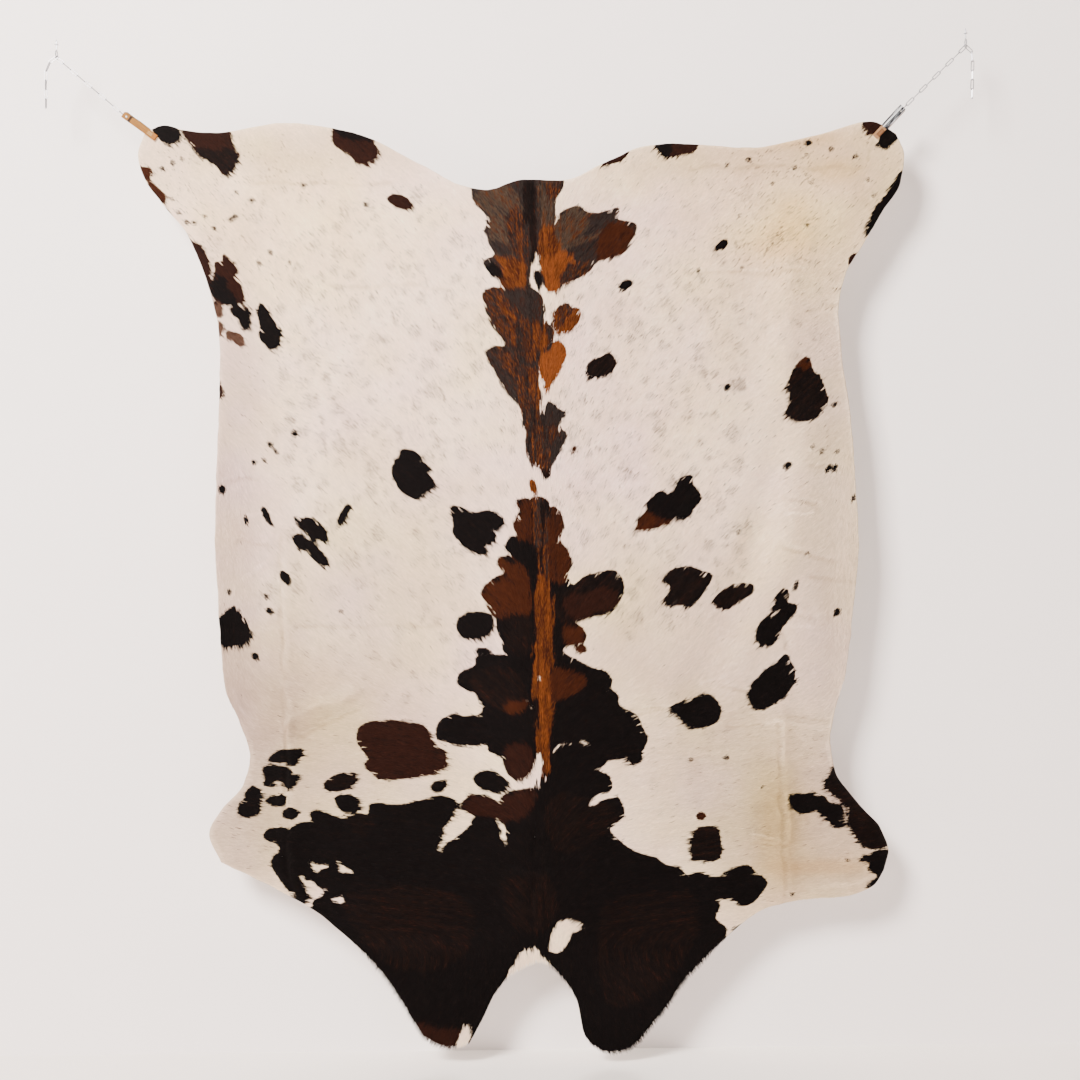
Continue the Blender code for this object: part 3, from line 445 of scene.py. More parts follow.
        (1085, -1252), (1076, -1232), (1089, -1208), (1110, -1208), (1098, -1182),
        (1113, -1144))),
    ("rump_top_red", "redbrown", ((1103, -1121), (1139, -1119), (1141, -1150), (1140, -1209),
        (1109, -1213), (1095, -1181), (1110, -1145))),
    ("rump_top_grey", "brindle", ((1139, -1116), (1180, -1122), (1187, -1170), (1183, -1268),
        (1177, -1365), (1161, -1316), (1147, -1231), (1141, -1170))),
    ("rump_median", "dark", ((1163, -1122), (1171, -1122), (1171, -1195), (1167, -1292),
        (1161, -1292), (1164, -1194))),
    ("rump_right_red", "redbrown", ((1183, -1141), (1209, -1146), (1221, -1193), (1206, -1217),
        (1225, -1239), (1236, -1268), (1234, -1293), (1224, -1307), (1202, -1316), (1181, -1297),
        (1179, -1219))),
    ("rump_left_black", "black", ((1092, -1208), (1131, -1214), (1155, -1231), (1154, -1304),
        (1143, -1364), (1134, -1291), (1105, -1281), (1084, -1252), (1074, -1232))),
    ("rump_left_red", "redbrown", ((1057, -1259), (1091, -1262), (1125, -1281), (1136, -1328),
        (1138, -1379), (1118, -1413), (1053, -1405), (1029, -1377), (1015, -1346), (1027, -1324),
        (1054, -1305), (1076, -1293), (1059, -1281))),
    ("rump_wing", "dark", ((1187, -1365), (1207, -1336), (1236, -1331), (1265, -1308),
        (1305, -1296), (1343, -1294), (1362, -1323), (1357, -1357), (1335, -1391), (1279, -1407),
        (1235, -1414), (1206, -1404))),
    ("rump_wing_brown", "brown", ((1221, -1360), (1268, -1339), (1314, -1330), (1350, -1340),
        (1352, -1367), (1325, -1384), (1284, -1395), (1240, -1404))),
    ("rump_left_dim", "dark", ((1068, -1397), (1104, -1391), (1135, -1403), (1135, -1452),
        (1108, -1490), (1076, -1478), (1062, -1441))),
    ("rump_top_left_dim", "dark", ((673, -1876), (694, -1881), (714, -1877), (733, -1884),
        (738, -1908), (718, -1930), (694, -1923), (677, -1903))),
    ("rump_lobe_red", "redbrown", ((1225, -1419), (1254, -1426), (1271, -1449), (1263, -1468),
        (1232, -1469), (1215, -1448))),
    ("rump_stripe", "amber", ((1149, -1304), (1178, -1292), (1189, -1365), (1191, -1462),
        (1194, -1559), (1189, -1620), (1186, -1669), (1178, -1717), (1175, -1773), (1155, -1773),
        (1144, -1705), (1140, -1619), (1136, -1559), (1142, -1486), (1145, -1389))),
    ("rump_stripe_side", "redbrown", ((1185, -1525), (1219, -1521), (1263, -1541), (1272, -1565),
        (1243, -1589), (1204, -1598), (1184, -1608))),
    ("rump_stripe_dark", "dark", ((1138, -1598), (1148, -1593), (1150, -1637), (1142, -1675),
        (1135, -1636))),
    ("rump_left_mottle", "dark", ((986, -1528), (1059, -1519), (1107, -1539), (1121, -1607),
        (1069, -1626), (1021, -1606), (990, -1581))),
    ("rump_left_streak", "redbrown", ((1070, -1606), (1106, -1597), (1126, -1607), (1096, -1626),
        (1072, -1631))),
    ("tail_lobe_red", "brown", ((1066, -1708), (1095, -1699), (1129, -1719), (1138, -1758),
        (1123, -1787), (1097, -1798), (1074, -1786), (1063, -1752))),
    ("arm_red", "brown", ((957, -1858), (977, -1838), (1021, -1832), (1047, -1852), (1060, -1835),
        (1077, -1825), (1121, -1819), (1142, -1826), (1127, -1870), (1083, -1893), (1059, -1895),
        (1020, -1888), (993, -1885), (964, -1869))),
    ("rump_low_dark", "dark", ((1201, -1827), (1298, -1852), (1351, -1882), (1321, -1921),
        (1247, -1973), (1189, -1963), (1163, -1887))),
    ("rump_low_dark2", "dark", ((1052, -2044), (1162, -2021), (1197, -2106), (1148, -2166),
        (1075, -2141))),
    ("left_leg_dark", "dark", ((675, -2063), (858, -2053), (978, -2103), (953, -2225),
        (807, -2247), (686, -2148))),
    ("right_leg_dark", "dark", ((1319, -2096), (1513, -2074), (1537, -2171), (1413, -2316),
        (1304, -2338), (1293, -2192))),
    ("left_foot_red", "brown", ((849, -2376), (902, -2392), (960, -2392), (969, -2456),
        (877, -2455))),
    ("inlet_white", "white", ((1135, -1819), (1121, -1809), (1101, -1818), (1077, -1825),
        (1052, -1842), (1035, -1842), (1021, -1834), (982, -1834), (962, -1846), (950, -1841),
        (955, -1833), (982, -1824), (1055, -1823), (1074, -1808), (1099, -1804), (1123, -1794),
        (1139, -1775), (1141, -1748), (1146, -1758), (1152, -1729), (1155, -1756), (1162, -1749),
        (1156, -1773), (1165, -1795), (1155, -1787), (1149, -1816), (1145, -1795))),
    ("inlet_oval", "black", ((989, -1793), (1007, -1777), (1036, -1776), (1063, -1789),
        (1075, -1801), (1067, -1820), (1045, -1830), (1016, -1822), (997, -1810))),
    ("inlet_fork", "white", ((1042, -1890), (1054, -1900), (1066, -1910), (1068, -1932),
        (1070, -1961), (1061, -1949), (1052, -1934), (1051, -1917))),
    ("inlet_pink", "white", ((947, -1863), (957, -1877), (971, -1885), (986, -1895), (976, -1911),
        (954, -1931), (929, -1947), (902, -1968), (912, -1942), (922, -1918), (935, -1894))),
    ("hole_a", "white", ((586, -1988), (598, -1991), (608, -1999), (630, -1997), (637, -2004),
        (618, -2010), (610, -2019), (598, -2014), (593, -2001))),
    ("hole_b", "white", ((654, -1992), (669, -2000), (683, -2007), (698, -2021), (678, -2017),
        (666, -2022), (659, -2010))),
    ("hole_c", "white", ((566, -2028), (581, -2037), (595, -2034), (607, -2050), (624, -2063),
        (619, -2077), (600, -2084), (592, -2103), (580, -2096), (585, -2074), (576, -2055))),
    ("rump_gap", "white", ((1042, -1402), (1049, -1406), (1052, -1422), (1048, -1441),
        (1042, -1436), (1044, -1417))),
    ("hole_d", "white", ((640, -2080), (670, -2073), (672, -2092), (650, -2090))),
    ("right_wedge", "white", ((1268, -1862), (1293, -1840), (1317, -1836), (1341, -1833),
        (1339, -1844), (1312, -1848), (1290, -1860))),
    ("tuft", "white", ((1166, -2211), (1179, -2176), (1190, -2150), (1211, -2139), (1229, -2138),
        (1256, -2158), (1229, -2173), (1218, -2194), (1197, -2219), (1179, -2220))),
    ("foot_white", "white", ((942, -2451), (949, -2419), (959, -2389), (978, -2391), (979, -2417),
        (959, -2451))),
    ("rump_arc", "white", ((1182, -1731), (1192, -1717), (1207, -1709), (1231, -1708),
        (1231, -1713), (1209, -1715), (1195, -1725), (1185, -1737))),
    ("rump_arc_b", "white", ((1252, -1703), (1265, -1706), (1280, -1720), (1265, -1716),
        (1253, -1710))),
    ("stripe_fleck", "white", ((1149, -1548), (1156, -1546), (1159, -1552), (1153, -1555))),
    ("stripe_fleck_b", "white", ((1130, -1621), (1135, -1619), (1140, -1622), (1138, -1627),
        (1131, -1627))),
    ("stripe_fleck_c", "white", ((1122, -1600), (1125, -1595), (1126, -1610), (1123, -1614))),
    ("low_right_bit", "black", ((1590, -2199), (1608, -2177), (1624, -2161), (1647, -2153),
        (1629, -2177), (1599, -2201))),
    ("rump_spot", "redbrown", ((1242, -1475), (1249, -1470), (1259, -1471), (1268, -1478),
        (1271, -1487), (1264, -1493), (1255, -1492), (1245, -1485))),
    ("left_loin_seed", "black", ((998, -1484), (1008, -1478), (1025, -1478), (1037, -1485),
        (1030, -1493), (1010, -1495))),
    ("left_thigh_patch", "brown", ((709, -1681), (719, -1662), (750, -1651), (804, -1650),
        (853, -1658), (878, -1668), (893, -1704), (922, -1724), (925, -1753), (907, -1777),
        (861, -1787), (812, -1794), (763, -1796), (748, -1783), (725, -1760), (735, -1741),
        (709, -1706))),
    ("left_thigh_seed", "black", ((887, -1811), (900, -1799), (924, -1798), (927, -1806),
        (914, -1823), (894, -1825))),
    ("left_flank_a", "black", ((494, -1747), (499, -1733), (525, -1719), (575, -1719),
        (570, -1744), (555, -1760), (525, -1753))),
    ("left_flank_b", "black", ((477, -1767), (489, -1757), (536, -1760), (564, -1784),
        (559, -1809), (540, -1814), (520, -1793), (494, -1808), (479, -1806), (484, -1787))),
    ("left_flank_c", "black", ((418, -1870), (420, -1846), (433, -1837), (435, -1822),
        (455, -1805), (474, -1818), (469, -1847), (473, -1871), (439, -1883))),
    ("left_flank_d", "black", ((484, -1845), (498, -1833), (530, -1828), (539, -1845),
        (519, -1857))),
    ("left_flank_e", "black", ((527, -1872), (544, -1857), (566, -1872), (558, -1887),
        (534, -1886))),
    ("left_flank_f", "dark", ((626, -1807), (644, -1787), (674, -1776), (705, -1780), (703, -1805),
        (678, -1820), (648, -1827))),
    ("left_flank_g", "black", ((653, -1839), (673, -1827), (702, -1835), (712, -1860),
        (707, -1874), (668, -1869))),
    ("right_rib_patch", "black", ((1511, -1067), (1533, -1067), (1533, -1085), (1545, -1102),
        (1553, -1119), (1545, -1139), (1532, -1154), (1514, -1171), (1493, -1167), (1471, -1179),
        (1436, -1193), (1399, -1191), (1397, -1178), (1417, -1152), (1423, -1127), (1445, -1105),
        (1465, -1105), (1470, -1112), (1487, -1101), (1494, -1082))),
    ("right_rib_patch_foot", "redbrown", ((1417, -1149), (1442, -1154), (1479, -1169),
        (1471, -1181), (1436, -1194), (1399, -1193), (1396, -1178))),
    ("right_loin_patch", "dark", ((1511, -1286), (1526, -1286), (1552, -1298), (1576, -1304),
        (1573, -1324), (1551, -1354), (1533, -1375), (1516, -1386), (1494, -1379), (1473, -1383),
        (1451, -1372), (1471, -1353), (1473, -1335), (1460, -1318), (1465, -1300),
        (1487, -1290))),
    ("right_flank_patch", "dark", ((1651, -1328), (1677, -1334), (1673, -1355), (1642, -1375),
        (1611, -1394), (1581, -1380), (1575, -1371), (1590, -1354), (1603, -1346),
        (1625, -1333))),
    ("right_fold_patch", "black", ((1755, -1343), (1764, -1361), (1759, -1376), (1781, -1383),
        (1780, -1400), (1759, -1422), (1745, -1439), (1736, -1460), (1719, -1478), (1688, -1477),
        (1678, -1463), (1684, -1434), (1706, -1410), (1720, -1399), (1724, -1369),
        (1740, -1348))),
    ("right_fold_cleft", "white", ((1714, -1410), (1726, -1400), (1740, -1391), (1738, -1397),
        (1728, -1405), (1719, -1412))),
    ("right_fold_seed", "dark", ((1772, -1343), (1778, -1324), (1785, -1326), (1783, -1342),
        (1777, -1348))),
    ("right_flank_teardrop", "black", ((1753, -1501), (1768, -1525), (1776, -1547), (1770, -1574),
        (1752, -1604), (1717, -1629), (1682, -1636), (1663, -1616), (1659, -1594), (1674, -1568),
        (1701, -1542), (1727, -1519))),
    ("right_stifle_patch", "black", ((1469, -1631), (1492, -1616), (1531, -1605), (1566, -1597),
        (1587, -1615), (1595, -1636), (1587, -1663), (1550, -1679), (1510, -1672),
        (1494, -1652))),
    ("right_thigh_dot", "redbrown", ((1529, -1892), (1535, -1883), (1550, -1885), (1555, -1894),
        (1545, -1902), (1533, -1900))),
    ("right_thigh_block", "dark", ((1547, -1915), (1583, -1923), (1589, -1947), (1591, -1992),
        (1554, -2005), (1518, -1995), (1522, -1935))),
    ("right_hind_a", "black", ((1758, -1845), (1798, -1841), (1810, -1833), (1842, -1848),
        (1858, -1866), (1884, -1871), (1892, -1899), (1888, -1925), (1861, -1919), (1834, -1890),
        (1822, -1882), (1789, -1892), (1761, -1873))),
    ("right_hind_rim", "dark", ((1865, -1774), (1889, -1811), (1924, -1855), (1944, -1865),
        (1968, -1895), (1987, -1934), (1998, -1969), (1986, -1979), (1953, -1980), (1929, -1964),
        (1913, -1940), (1898, -1907), (1902, -1879), (1878, -1858), (1858, -1842), (1842, -1818),
        (1857, -1798))),
    ("right_hind_tip", "black", ((1961, -1983), (2008, -1984), (2008, -2012), (1995, -2036),
        (1973, -2047), (1947, -2025), (1951, -2014), (1933, -2006), (1935, -1994),
        (1957, -1992))),
    ("right_hind_tail", "black", ((1976, -2041), (1978, -2055), (1944, -2080), (1950, -2065),
        (1963, -2050))),
)
SPECKS = (  # x, z, radius of single dark flecks in the white
    (253, -306, 4.1), (281, -292, 3.4), (302, -283, 3.9), (333, -440, 4.9), (358, -424, 3.9),
    (431, -426, 5.3), (421, -433, 4.4), (379, -452, 3.6), (434, -366, 3.9), (472, -386, 4.9),
    (312, -437, 4.4), (291, -410, 3.2), (277, -379, 3.9), (597, -351, 4.4), (748, -399, 4.4),
    (516, -513, 4.9), (487, -540, 4.4), (561, -538, 3.4), (570, -955, 6.8), (511, -980, 6.3),
    (523, -997, 4.4), (469, -1023, 6.1), (494, -1018, 4.1), (392, -1089, 8.7), (405, -1338, 6.3),
    (496, -1348, 5.8), (504, -1384, 7.8), (468, -1494, 7.8), (674, -1386, 3.9),
    (1678, -302, 4.9), (1822, -265, 6.8), (1879, -278, 3.6), (1937, -298, 4.9),
    (1818, -291, 3.4), (1788, -323, 4.9), (1625, -313, 3.6), (1965, -356, 3.6),
    (1978, -393, 3.4), (1654, -437, 3.4), (1816, -464, 4.9), (1831, -360, 3.4),
    (1734, -361, 3.4), (1616, -856, 7.8), (1761, -1047, 8.3), (1861, -1056, 6.6),
    (1876, -1056, 6.6), (1919, -1129, 5.8), (1876, -1405, 8.3), (1810, -1259, 4.4),
    (1883, -1014, 4.4), (1846, -1011, 4.4), (1822, -1003, 4.4), (1641, -1205, 3.6),
    (1604, -1752, 5.3), (1519, -1755, 4.4), (1692, -1823, 3.4), (1759, -2085, 4.9),
    (1895, -2004, 3.9), (1552, -568, 3.4), (1659, -564, 3.6), (1877, -900, 5.8),
    (1488, -1369, 3.2), (1777, -1569, 3.2),
)
# sRGB reflectance of the hair, and how much single locks differ
TONES = {  # name: colour, spread
    "white": ((239, 213, 187), 0.09),
    "black": ((10, 7, 7), 0.14),
    "dark": ((17, 10, 8), 0.17),
    "brown": ((32, 15, 10), 0.17),
    "redbrown": ((47, 21, 9), 0.18),
    "rust": ((70, 35, 13), 0.20),
    "orange": ((98, 49, 17), 0.17),
    "amber": ((78, 39, 14), 0.20),
    "grey": ((52, 41, 32), 0.24),
    "smoke": ((33, 27, 25), 0.20),
    "brindle": ((46, 26, 14), 0.20),
    "pale": ((66, 45, 35), 0.20),
}
# What locks a mixed tone is made of, and the share of each
MIXES = {  # name: ((tone, share), ...)
    "brindle": (
        ("dark", 0.16),
        ("smoke", 0.34),
        ("brown", 0.08),
        ("redbrown", 0.12),
        ("rust", 0.22),
        ("orange", 0.08),
    ),
    "grey": (("smoke", 0.30), ("grey", 0.42), ("redbrown", 0.10), ("rust", 0.18)),
    "smoke": (("dark", 0.20), ("smoke", 0.64), ("brown", 0.08), ("redbrown", 0.08)),
    "dark": (("black", 0.40), ("dark", 0.50), ("brown", 0.10)),
    "black": (("black", 0.90), ("dark", 0.10)),
    "orange": (("rust", 0.30), ("orange", 0.70)),
    "amber": (("brown", 0.14), ("redbrown", 0.20), ("rust", 0.36), ("orange", 0.30)),
    "redbrown": (("brown", 0.26), ("redbrown", 0.74)),
    "brown": (("dark", 0.16), ("brown", 0.84)),
    "pale": (("brown", 0.20), ("pale", 0.80)),
}
TINTS = (  # name, x, z, reach_x, reach_z, red, green, blue
    ("left_flank_dull", 600, -1610, 300, 170, 0.93, 0.915, 0.905),
    ("back_pink", 1100, -950, 520, 700, 1.0, 0.99, 1.0),
    ("right_shoulder_yellow", 1800, -420, 330, 240, 0.972, 0.958, 0.912),
    ("right_shoulder_stain_a", 1895, -325, 60, 34, 0.975, 0.96, 0.885),
    ("right_shoulder_stain_b", 1790, -430, 60, 60, 0.975, 0.957, 0.89),
    ("right_shoulder_stain_c", 1760, -500, 90, 50, 0.98, 0.957, 0.90),
    ("right_crest_stain", 1790, -250, 130, 26, 0.955, 0.93, 0.86),
    ("left_belly_lilac", 405, -1250, 95, 560, 0.87, 0.85, 0.88),
    ("left_chest_lilac", 440, -800, 80, 150, 0.95, 0.94, 0.96),
    ("left_flank_lilac", 475, -1640, 110, 150, 0.90, 0.89, 0.92),
    ("right_belly_grey", 1890, -1250, 100, 540, 0.87, 0.865, 0.855),
    ("right_chest_lilac", 1850, -800, 90, 180, 0.95, 0.945, 0.945),
    # cream tint with painted shade: darker towards the bottom
    ("right_hind_cream_and_shade", 1850, -1960, 230, 190, 0.88, 0.868, 0.83),
    ("right_hind_seam", 1735, -1930, 60, 170, 0.93, 0.905, 0.825),
    ("right_hind_line", 1850, -2020, 130, 22, 0.95, 0.92, 0.86),
    # grey and cream tints with painted shade: darker towards the bottom
    ("right_thigh_grey_and_shade", 1630, -1800, 210, 230, 0.89, 0.882, 0.87),
    ("left_hind_cream_and_shade", 420, -1930, 150, 140, 0.88, 0.875, 0.865),
    ("left_rib_cream", 650, -1500, 230, 330, 0.93, 0.93, 0.91),
    ("left_thigh_cream", 700, -1850, 260, 130, 0.93, 0.925, 0.90),
    ("left_shoulder_cream", 540, -430, 260, 200, 0.995, 0.985, 0.95),
    ("left_top_shade", 620, -262, 320, 56, 0.93, 0.925, 0.90),
    ("right_top_shade", 1650, -292, 330, 50, 0.93, 0.925, 0.89),
    ("left_top_corner", 250, -300, 90, 90, 0.96, 0.955, 0.95),
    ("right_top_corner", 1990, -330, 90, 120, 0.94, 0.935, 0.91),
    ("loin_cream", 1500, -1450, 260, 230, 0.93, 0.928, 0.90),
    ("left_loin_cream", 860, -1230, 240, 260, 0.95, 0.945, 0.94),
)
# Faint grey rosettes under the white
ROAN = (  # name, x, z, reach_x, reach_z, spacing, strength
    ("left_back", 820, -820, 310, 480, 38, 0.95),
    ("left_loin", 800, -1330, 330, 270, 44, 0.7),
    ("left_shoulder", 620, -560, 260, 230, 44, 0.5),
    ("right_neck", 1450, -450, 190, 150, 44, 0.55),
    ("right_back", 1430, -830, 260, 420, 37, 1.0),
    ("right_loin", 1430, -1220, 260, 230, 38, 0.9),
    ("right_shoulder", 1650, -600, 240, 240, 46, 0.5),
    ("right_thigh", 1600, -1750, 260, 200, 50, 0.4),
    ("left_foreleg", 420, -380, 170, 150, 44, 0.3),
)
# Fine dark ticking, locks among the white
TICKING = (  # name, x, z, reach_x, reach_z, share
    ("left_foreleg", 430, -400, 260, 200, 0.024),
    ("left_rib", 700, -700, 330, 420, 0.008),
    ("right_foreleg", 1810, -430, 190, 230, 0.028),
    ("right_back", 1500, -800, 300, 480, 0.008),
    ("right_shoulder", 1760, -450, 130, 120, 0.045),
    ("left_shoulder", 500, -420, 150, 120, 0.02),
    ("left_flank", 560, -1700, 200, 180, 0.003),
    ("left_hind", 430, -1930, 110, 110, 0.006),
    ("right_hind", 1700, -1850, 260, 220, 0.004),
    ("back_low", 950, -1400, 200, 200, 0.002),
)

SIDES = (  # side, hook_x, chain_deg, clip_deg, sprung_jaw
    ("left", 0.0, -41.2, -36.7, "back"),
    ("right", HOOK_SPAN, -135.9, -133.7, "front"),
)
HOOK_BOTTOM = -(HOOK_NECK + 2 * HOOK_BEND_RADIUS)


# -------------------------------------------------------------- curve maths
def eased_curve(rows, at):
    rows = sorted((row[1], row[2]) for row in rows)
    x = np.array([r[0] for r in rows], float)
    y = np.array([r[1] for r in rows], float)
    h, rise = np.diff(x), np.diff(y)
    slope = rise / h
    m = np.zeros_like(x)
    for i in range(1, len(x) - 1):
        if slope[i - 1] * slope[i] > 0:
            a, b = 2 * h[i] + h[i - 1], h[i] + 2 * h[i - 1]
            m[i] = (a + b) / (a / slope[i - 1] + b / slope[i])
    m[0], m[-1] = slope[0], slope[-1]
    at = np.clip(np.asarray(at, float), x[0], x[-1])
    i = np.clip(np.searchsorted(x, at) - 1, 0, len(h) - 1)
    t = (at - x[i]) / h[i]
    return (
        y[i] * (1 + 2 * t) * (1 - t) ** 2
        + h[i] * m[i] * t * (1 - t) ** 2
        + y[i + 1] * t * t * (3 - 2 * t)
        + h[i] * m[i + 1] * t * t * (t - 1)
    )


def smooth(low, high, value):
    t = np.clip((value - low) / (high - low), 0.0, 1.0)
    return t * t * (3 - 2 * t)


def spread(count, steepness):
    fine = np.linspace(0, 1, 4001)
    weight = steepness(0.5 * (fine[1:] + fine[:-1]))
    total = np.concatenate([[0], np.cumsum(weight)])
    return np.interp(np.linspace(0, 1, count + 1), total / total[-1], fine)


def noise(x, y, seed):
    """Smooth noise in -1..1 with features about one unit across."""
    table = np.random.default_rng(SEED + seed).uniform(-1, 1, (256, 256))
    xi, yi = np.floor(x).astype(int), np.floor(y).astype(int)
    fx, fy = x - xi, y - yi
    fx, fy = fx * fx * (3 - 2 * fx), fy * fy * (3 - 2 * fy)
    a, b, c, d = xi & 255, (xi + 1) & 255, yi & 255, (yi + 1) & 255
    low = table[a, c] * (1 - fx) + table[b, c] * fx
    high = table[a, d] * (1 - fx) + table[b, d] * fx
    return low * (1 - fy) + high * fy


def outline(u, v):
    top_ends = TOP_EDGE[0][1], TOP_EDGE[-1][1]
    bottom_ends = BOTTOM_EDGE[0][1], BOTTOM_EDGE[-1][1]
    left_ends = LEFT_SIDE[-1][1], LEFT_SIDE[0][1]
    right_ends = RIGHT_SIDE[-1][1], RIGHT_SIDE[0][1]
    z_top = eased_curve(TOP_EDGE, top_ends[0] + u * (top_ends[1] - top_ends[0]))
    z_low = eased_curve(
        BOTTOM_EDGE, bottom_ends[0] + u * (bottom_ends[1] - bottom_ends[0])
    )
    x_left = eased_curve(LEFT_SIDE, left_ends[0] + v * (left_ends[1] - left_ends[0]))
    x_right = eased_curve(
        RIGHT_SIDE, right_ends[0] + v * (right_ends[1] - right_ends[0])
    )
    return x_left * (1 - u) + x_right * u, z_low * (1 - v) + z_top * v


def cut(u, v):
    """The outline with the knife's small wobble along its edges."""
    x, z = outline(u, v)
    wobble_x = 1.1 * noise(z / 31, x / 400, 1) + 0.5 * noise(z / 9, x / 400, 2)
    wobble_z = 1.1 * noise(x / 31, z / 400, 3) + 0.5 * noise(x / 9, z / 400, 4)
    near_x = np.exp(-np.minimum(u, 1 - u) * 1700 / 25)
    near_z = np.exp(-np.minimum(v, 1 - v) * 2000 / 25)
    return x + wobble_x * near_x, z + wobble_z * near_z


def column_steepness(u):
    d = 0.001
    _, low0 = outline(u - d, np.zeros_like(u))
    _, low1 = outline(u + d, np.zeros_like(u))
    _, top0 = outline(u - d, np.ones_like(u))
    _, top1 = outline(u + d, np.ones_like(u))
    fall = np.abs(low1 - low0) / (2 * d * 1700)
    lift = np.abs(top1 - top0) / (2 * d * 1700)
    return 0.95 + 0.6 * np.minimum(fall, 2.4) + 0.5 * lift


def row_steepness(v):
    d = 0.001
    left0, _ = outline(np.zeros_like(v), v - d)
    left1, _ = outline(np.zeros_like(v), v + d)
    right0, _ = outline(np.ones_like(v), v - d)
    right1, _ = outline(np.ones_like(v), v + d)
    lean = (np.abs(left1 - left0) + np.abs(right1 - right0)) / (2 * d * 1800)
    return 1.0 + 0.8 * np.minimum(lean, 1.6)


def heading(degrees):
    a = math.radians(degrees)
    return np.array([math.cos(a), math.sin(a)])


def clip_point(side, along):
    hook_x, chain_deg, clip_deg = side[1], side[2], side[3]
    pivot = np.array([hook_x, HOOK_BOTTOM]) + HOOK_TO_CLIP * heading(chain_deg)
    return pivot + along * heading(clip_deg)


def clip_matrix(side):
    """Local x along the clip to its tip, y away from the viewer, z across it."""
    x, z = clip_point(side, 0.0)
    d = heading(side[3])
    m = Matrix.Identity(4)
    m.col[0] = (d[0], 0, d[1], 0)
    m.col[1] = (0, 1, 0, 0)
    m.col[2] = (-d[1], 0, d[0], 0)
    m.col[3] = (x * MM, 0, z * MM, 1)
    return m


def ridge(x, z, rows):
    out = np.zeros_like(x)
    for _, x0, z0, x1, z1, half, rise in rows:
        run = math.hypot(x1 - x0, z1 - z0)
        ax, az = (x1 - x0) / run, (z1 - z0) / run
        t = ((x - x0) * ax + (z - z0) * az) / run
        off = (x - x0) * az - (z - z0) * ax
        past = np.maximum(np.maximum(-t, t - 1), 0) * run
        out = out + rise * np.exp(-((off / half) ** 2) - (past / (1.3 * half)) ** 2)
    return out


def creases(x, z):
    """Height of the fine creases, and their painted shade with a little dirt in the troughs and painted highlight on
    the ridges.
    """
    height, crease_dirt_shade_highlight = np.zeros_like(x), np.zeros_like(x)
    for k, (_, x0, z0, x1, z1, half, rise) in enumerate(CREASES):
        reach = 4 * half + 6
        m = (x > min(x0, x1) - reach) & (x < max(x0, x1) + reach)
        m &= (z > min(z0, z1) - reach) & (z < max(z0, z1) + reach)
        if not m.any():
            continue
        xs, zs = x[m], z[m]
        run = math.hypot(x1 - x0, z1 - z0)
        ax, az = (x1 - x0) / run, (z1 - z0) / run
        t = ((xs - x0) * ax + (zs - z0) * az) / run
        s = t * run
        off = (xs - x0) * az - (zs - z0) * ax + 6.0 * noise(s / 50, s * 0 + k, 15)
        off = off + 1.6 * noise(s / 14, s * 0 + k, 25)
        past = np.maximum(np.maximum(-t, t - 1), 0) * run
        wide = half * (1 + 0.3 * noise(s / 40, s * 0 + k, 16))
        shape = np.exp(-(np.abs(off / wide) ** 1.35) - (past / (1.6 * half)) ** 2)
        shape = shape * (0.75 + 0.5 * noise(s / 34, s * 0 + k, 17))
        height[m] += rise * shape
        core = np.exp(-((off / (0.5 * wide)) ** 2) - (past / half) ** 2)
        # troughs get painted shade with some dirt, ridges get a painted highlight
        crease_dirt_shade_highlight[m] += abs(rise) ** 0.5 * core * (1.0 if rise < 0 else -0.6)
    return height, crease_dirt_shade_highlight


def forward(x, z, fine=True):
    """How far the hide stands towards the viewer at (x, z)."""
    x0, z0, x1, z1 = SPINE
    along = np.clip((z - z0) / (z1 - z0), -0.2, 1.2)
    across = np.abs(x - (x0 + (x1 - x0) * along)) / 900.0
    out = BODY_BOW * (1 - across**2) * np.sin(math.pi * np.clip(along, 0, 1) * 0.85)
    out = out + ridge(x, z, FOLDS)
    for _, axis, start, over, lean, low, high in CURLS:
        sign = 1 if axis[0] == "+" else -1
        value, other = (x, z) if axis[1] == "x" else (z, x)
        t = np.clip(sign * (value - start) / over, 0, 1.6)
        fade = smooth(low, low + 160, other) * (1 - smooth(high - 160, high, other))
        out = out + lean * t**2 * fade
    if fine:
        out = out + creases(x, z)[0]
        # the skin is never quite flat
        limp = 0.4 + 0.6 * smooth(-1050, -1500, z)
        out = out + 1.0 * noise(x / 120, z / 150, 5) + 0.7 * limp * noise(x / 45, z / 55, 6)
        out = out + 0.28 * limp * noise(x / 20, z / 26, 26)
    for side in SIDES:
        gx, gz = clip_point(side, CLIP_LENGTH - 16.0)
        out = out * smooth(GRIP_FLAT, GRIP_EASE, np.hypot(x - gx, z - gz))
    return out


# --------------------------------------------------------------- the markings
def softened(corners):
    """A closed soft curve through the corners, with no overshoot at short sides."""
    p = np.array(corners, float)
    before, after = np.roll(p, 1, axis=0), np.roll(p, -1, axis=0)
    turn = after - before
    reach = np.hypot(*turn.T) + 1e-9
    side = np.hypot(*(after - p).T)
    short = np.minimum(side, np.roll(side, 1))
    m = turn / reach[:, None] * short[:, None] * 0.9
    q, n = after, np.roll(m, -1, axis=0)
    rows = []
    for t in (0.0, 0.33, 0.67):
        a, b = (1 + 2 * t) * (1 - t) ** 2, t * (1 - t) ** 2
        c, d = t * t * (3 - 2 * t), t * t * (t - 1)
        rows.append(p * a + m * b + q * c + n * d)
    return np.stack(rows, 1).reshape(-1, 2)


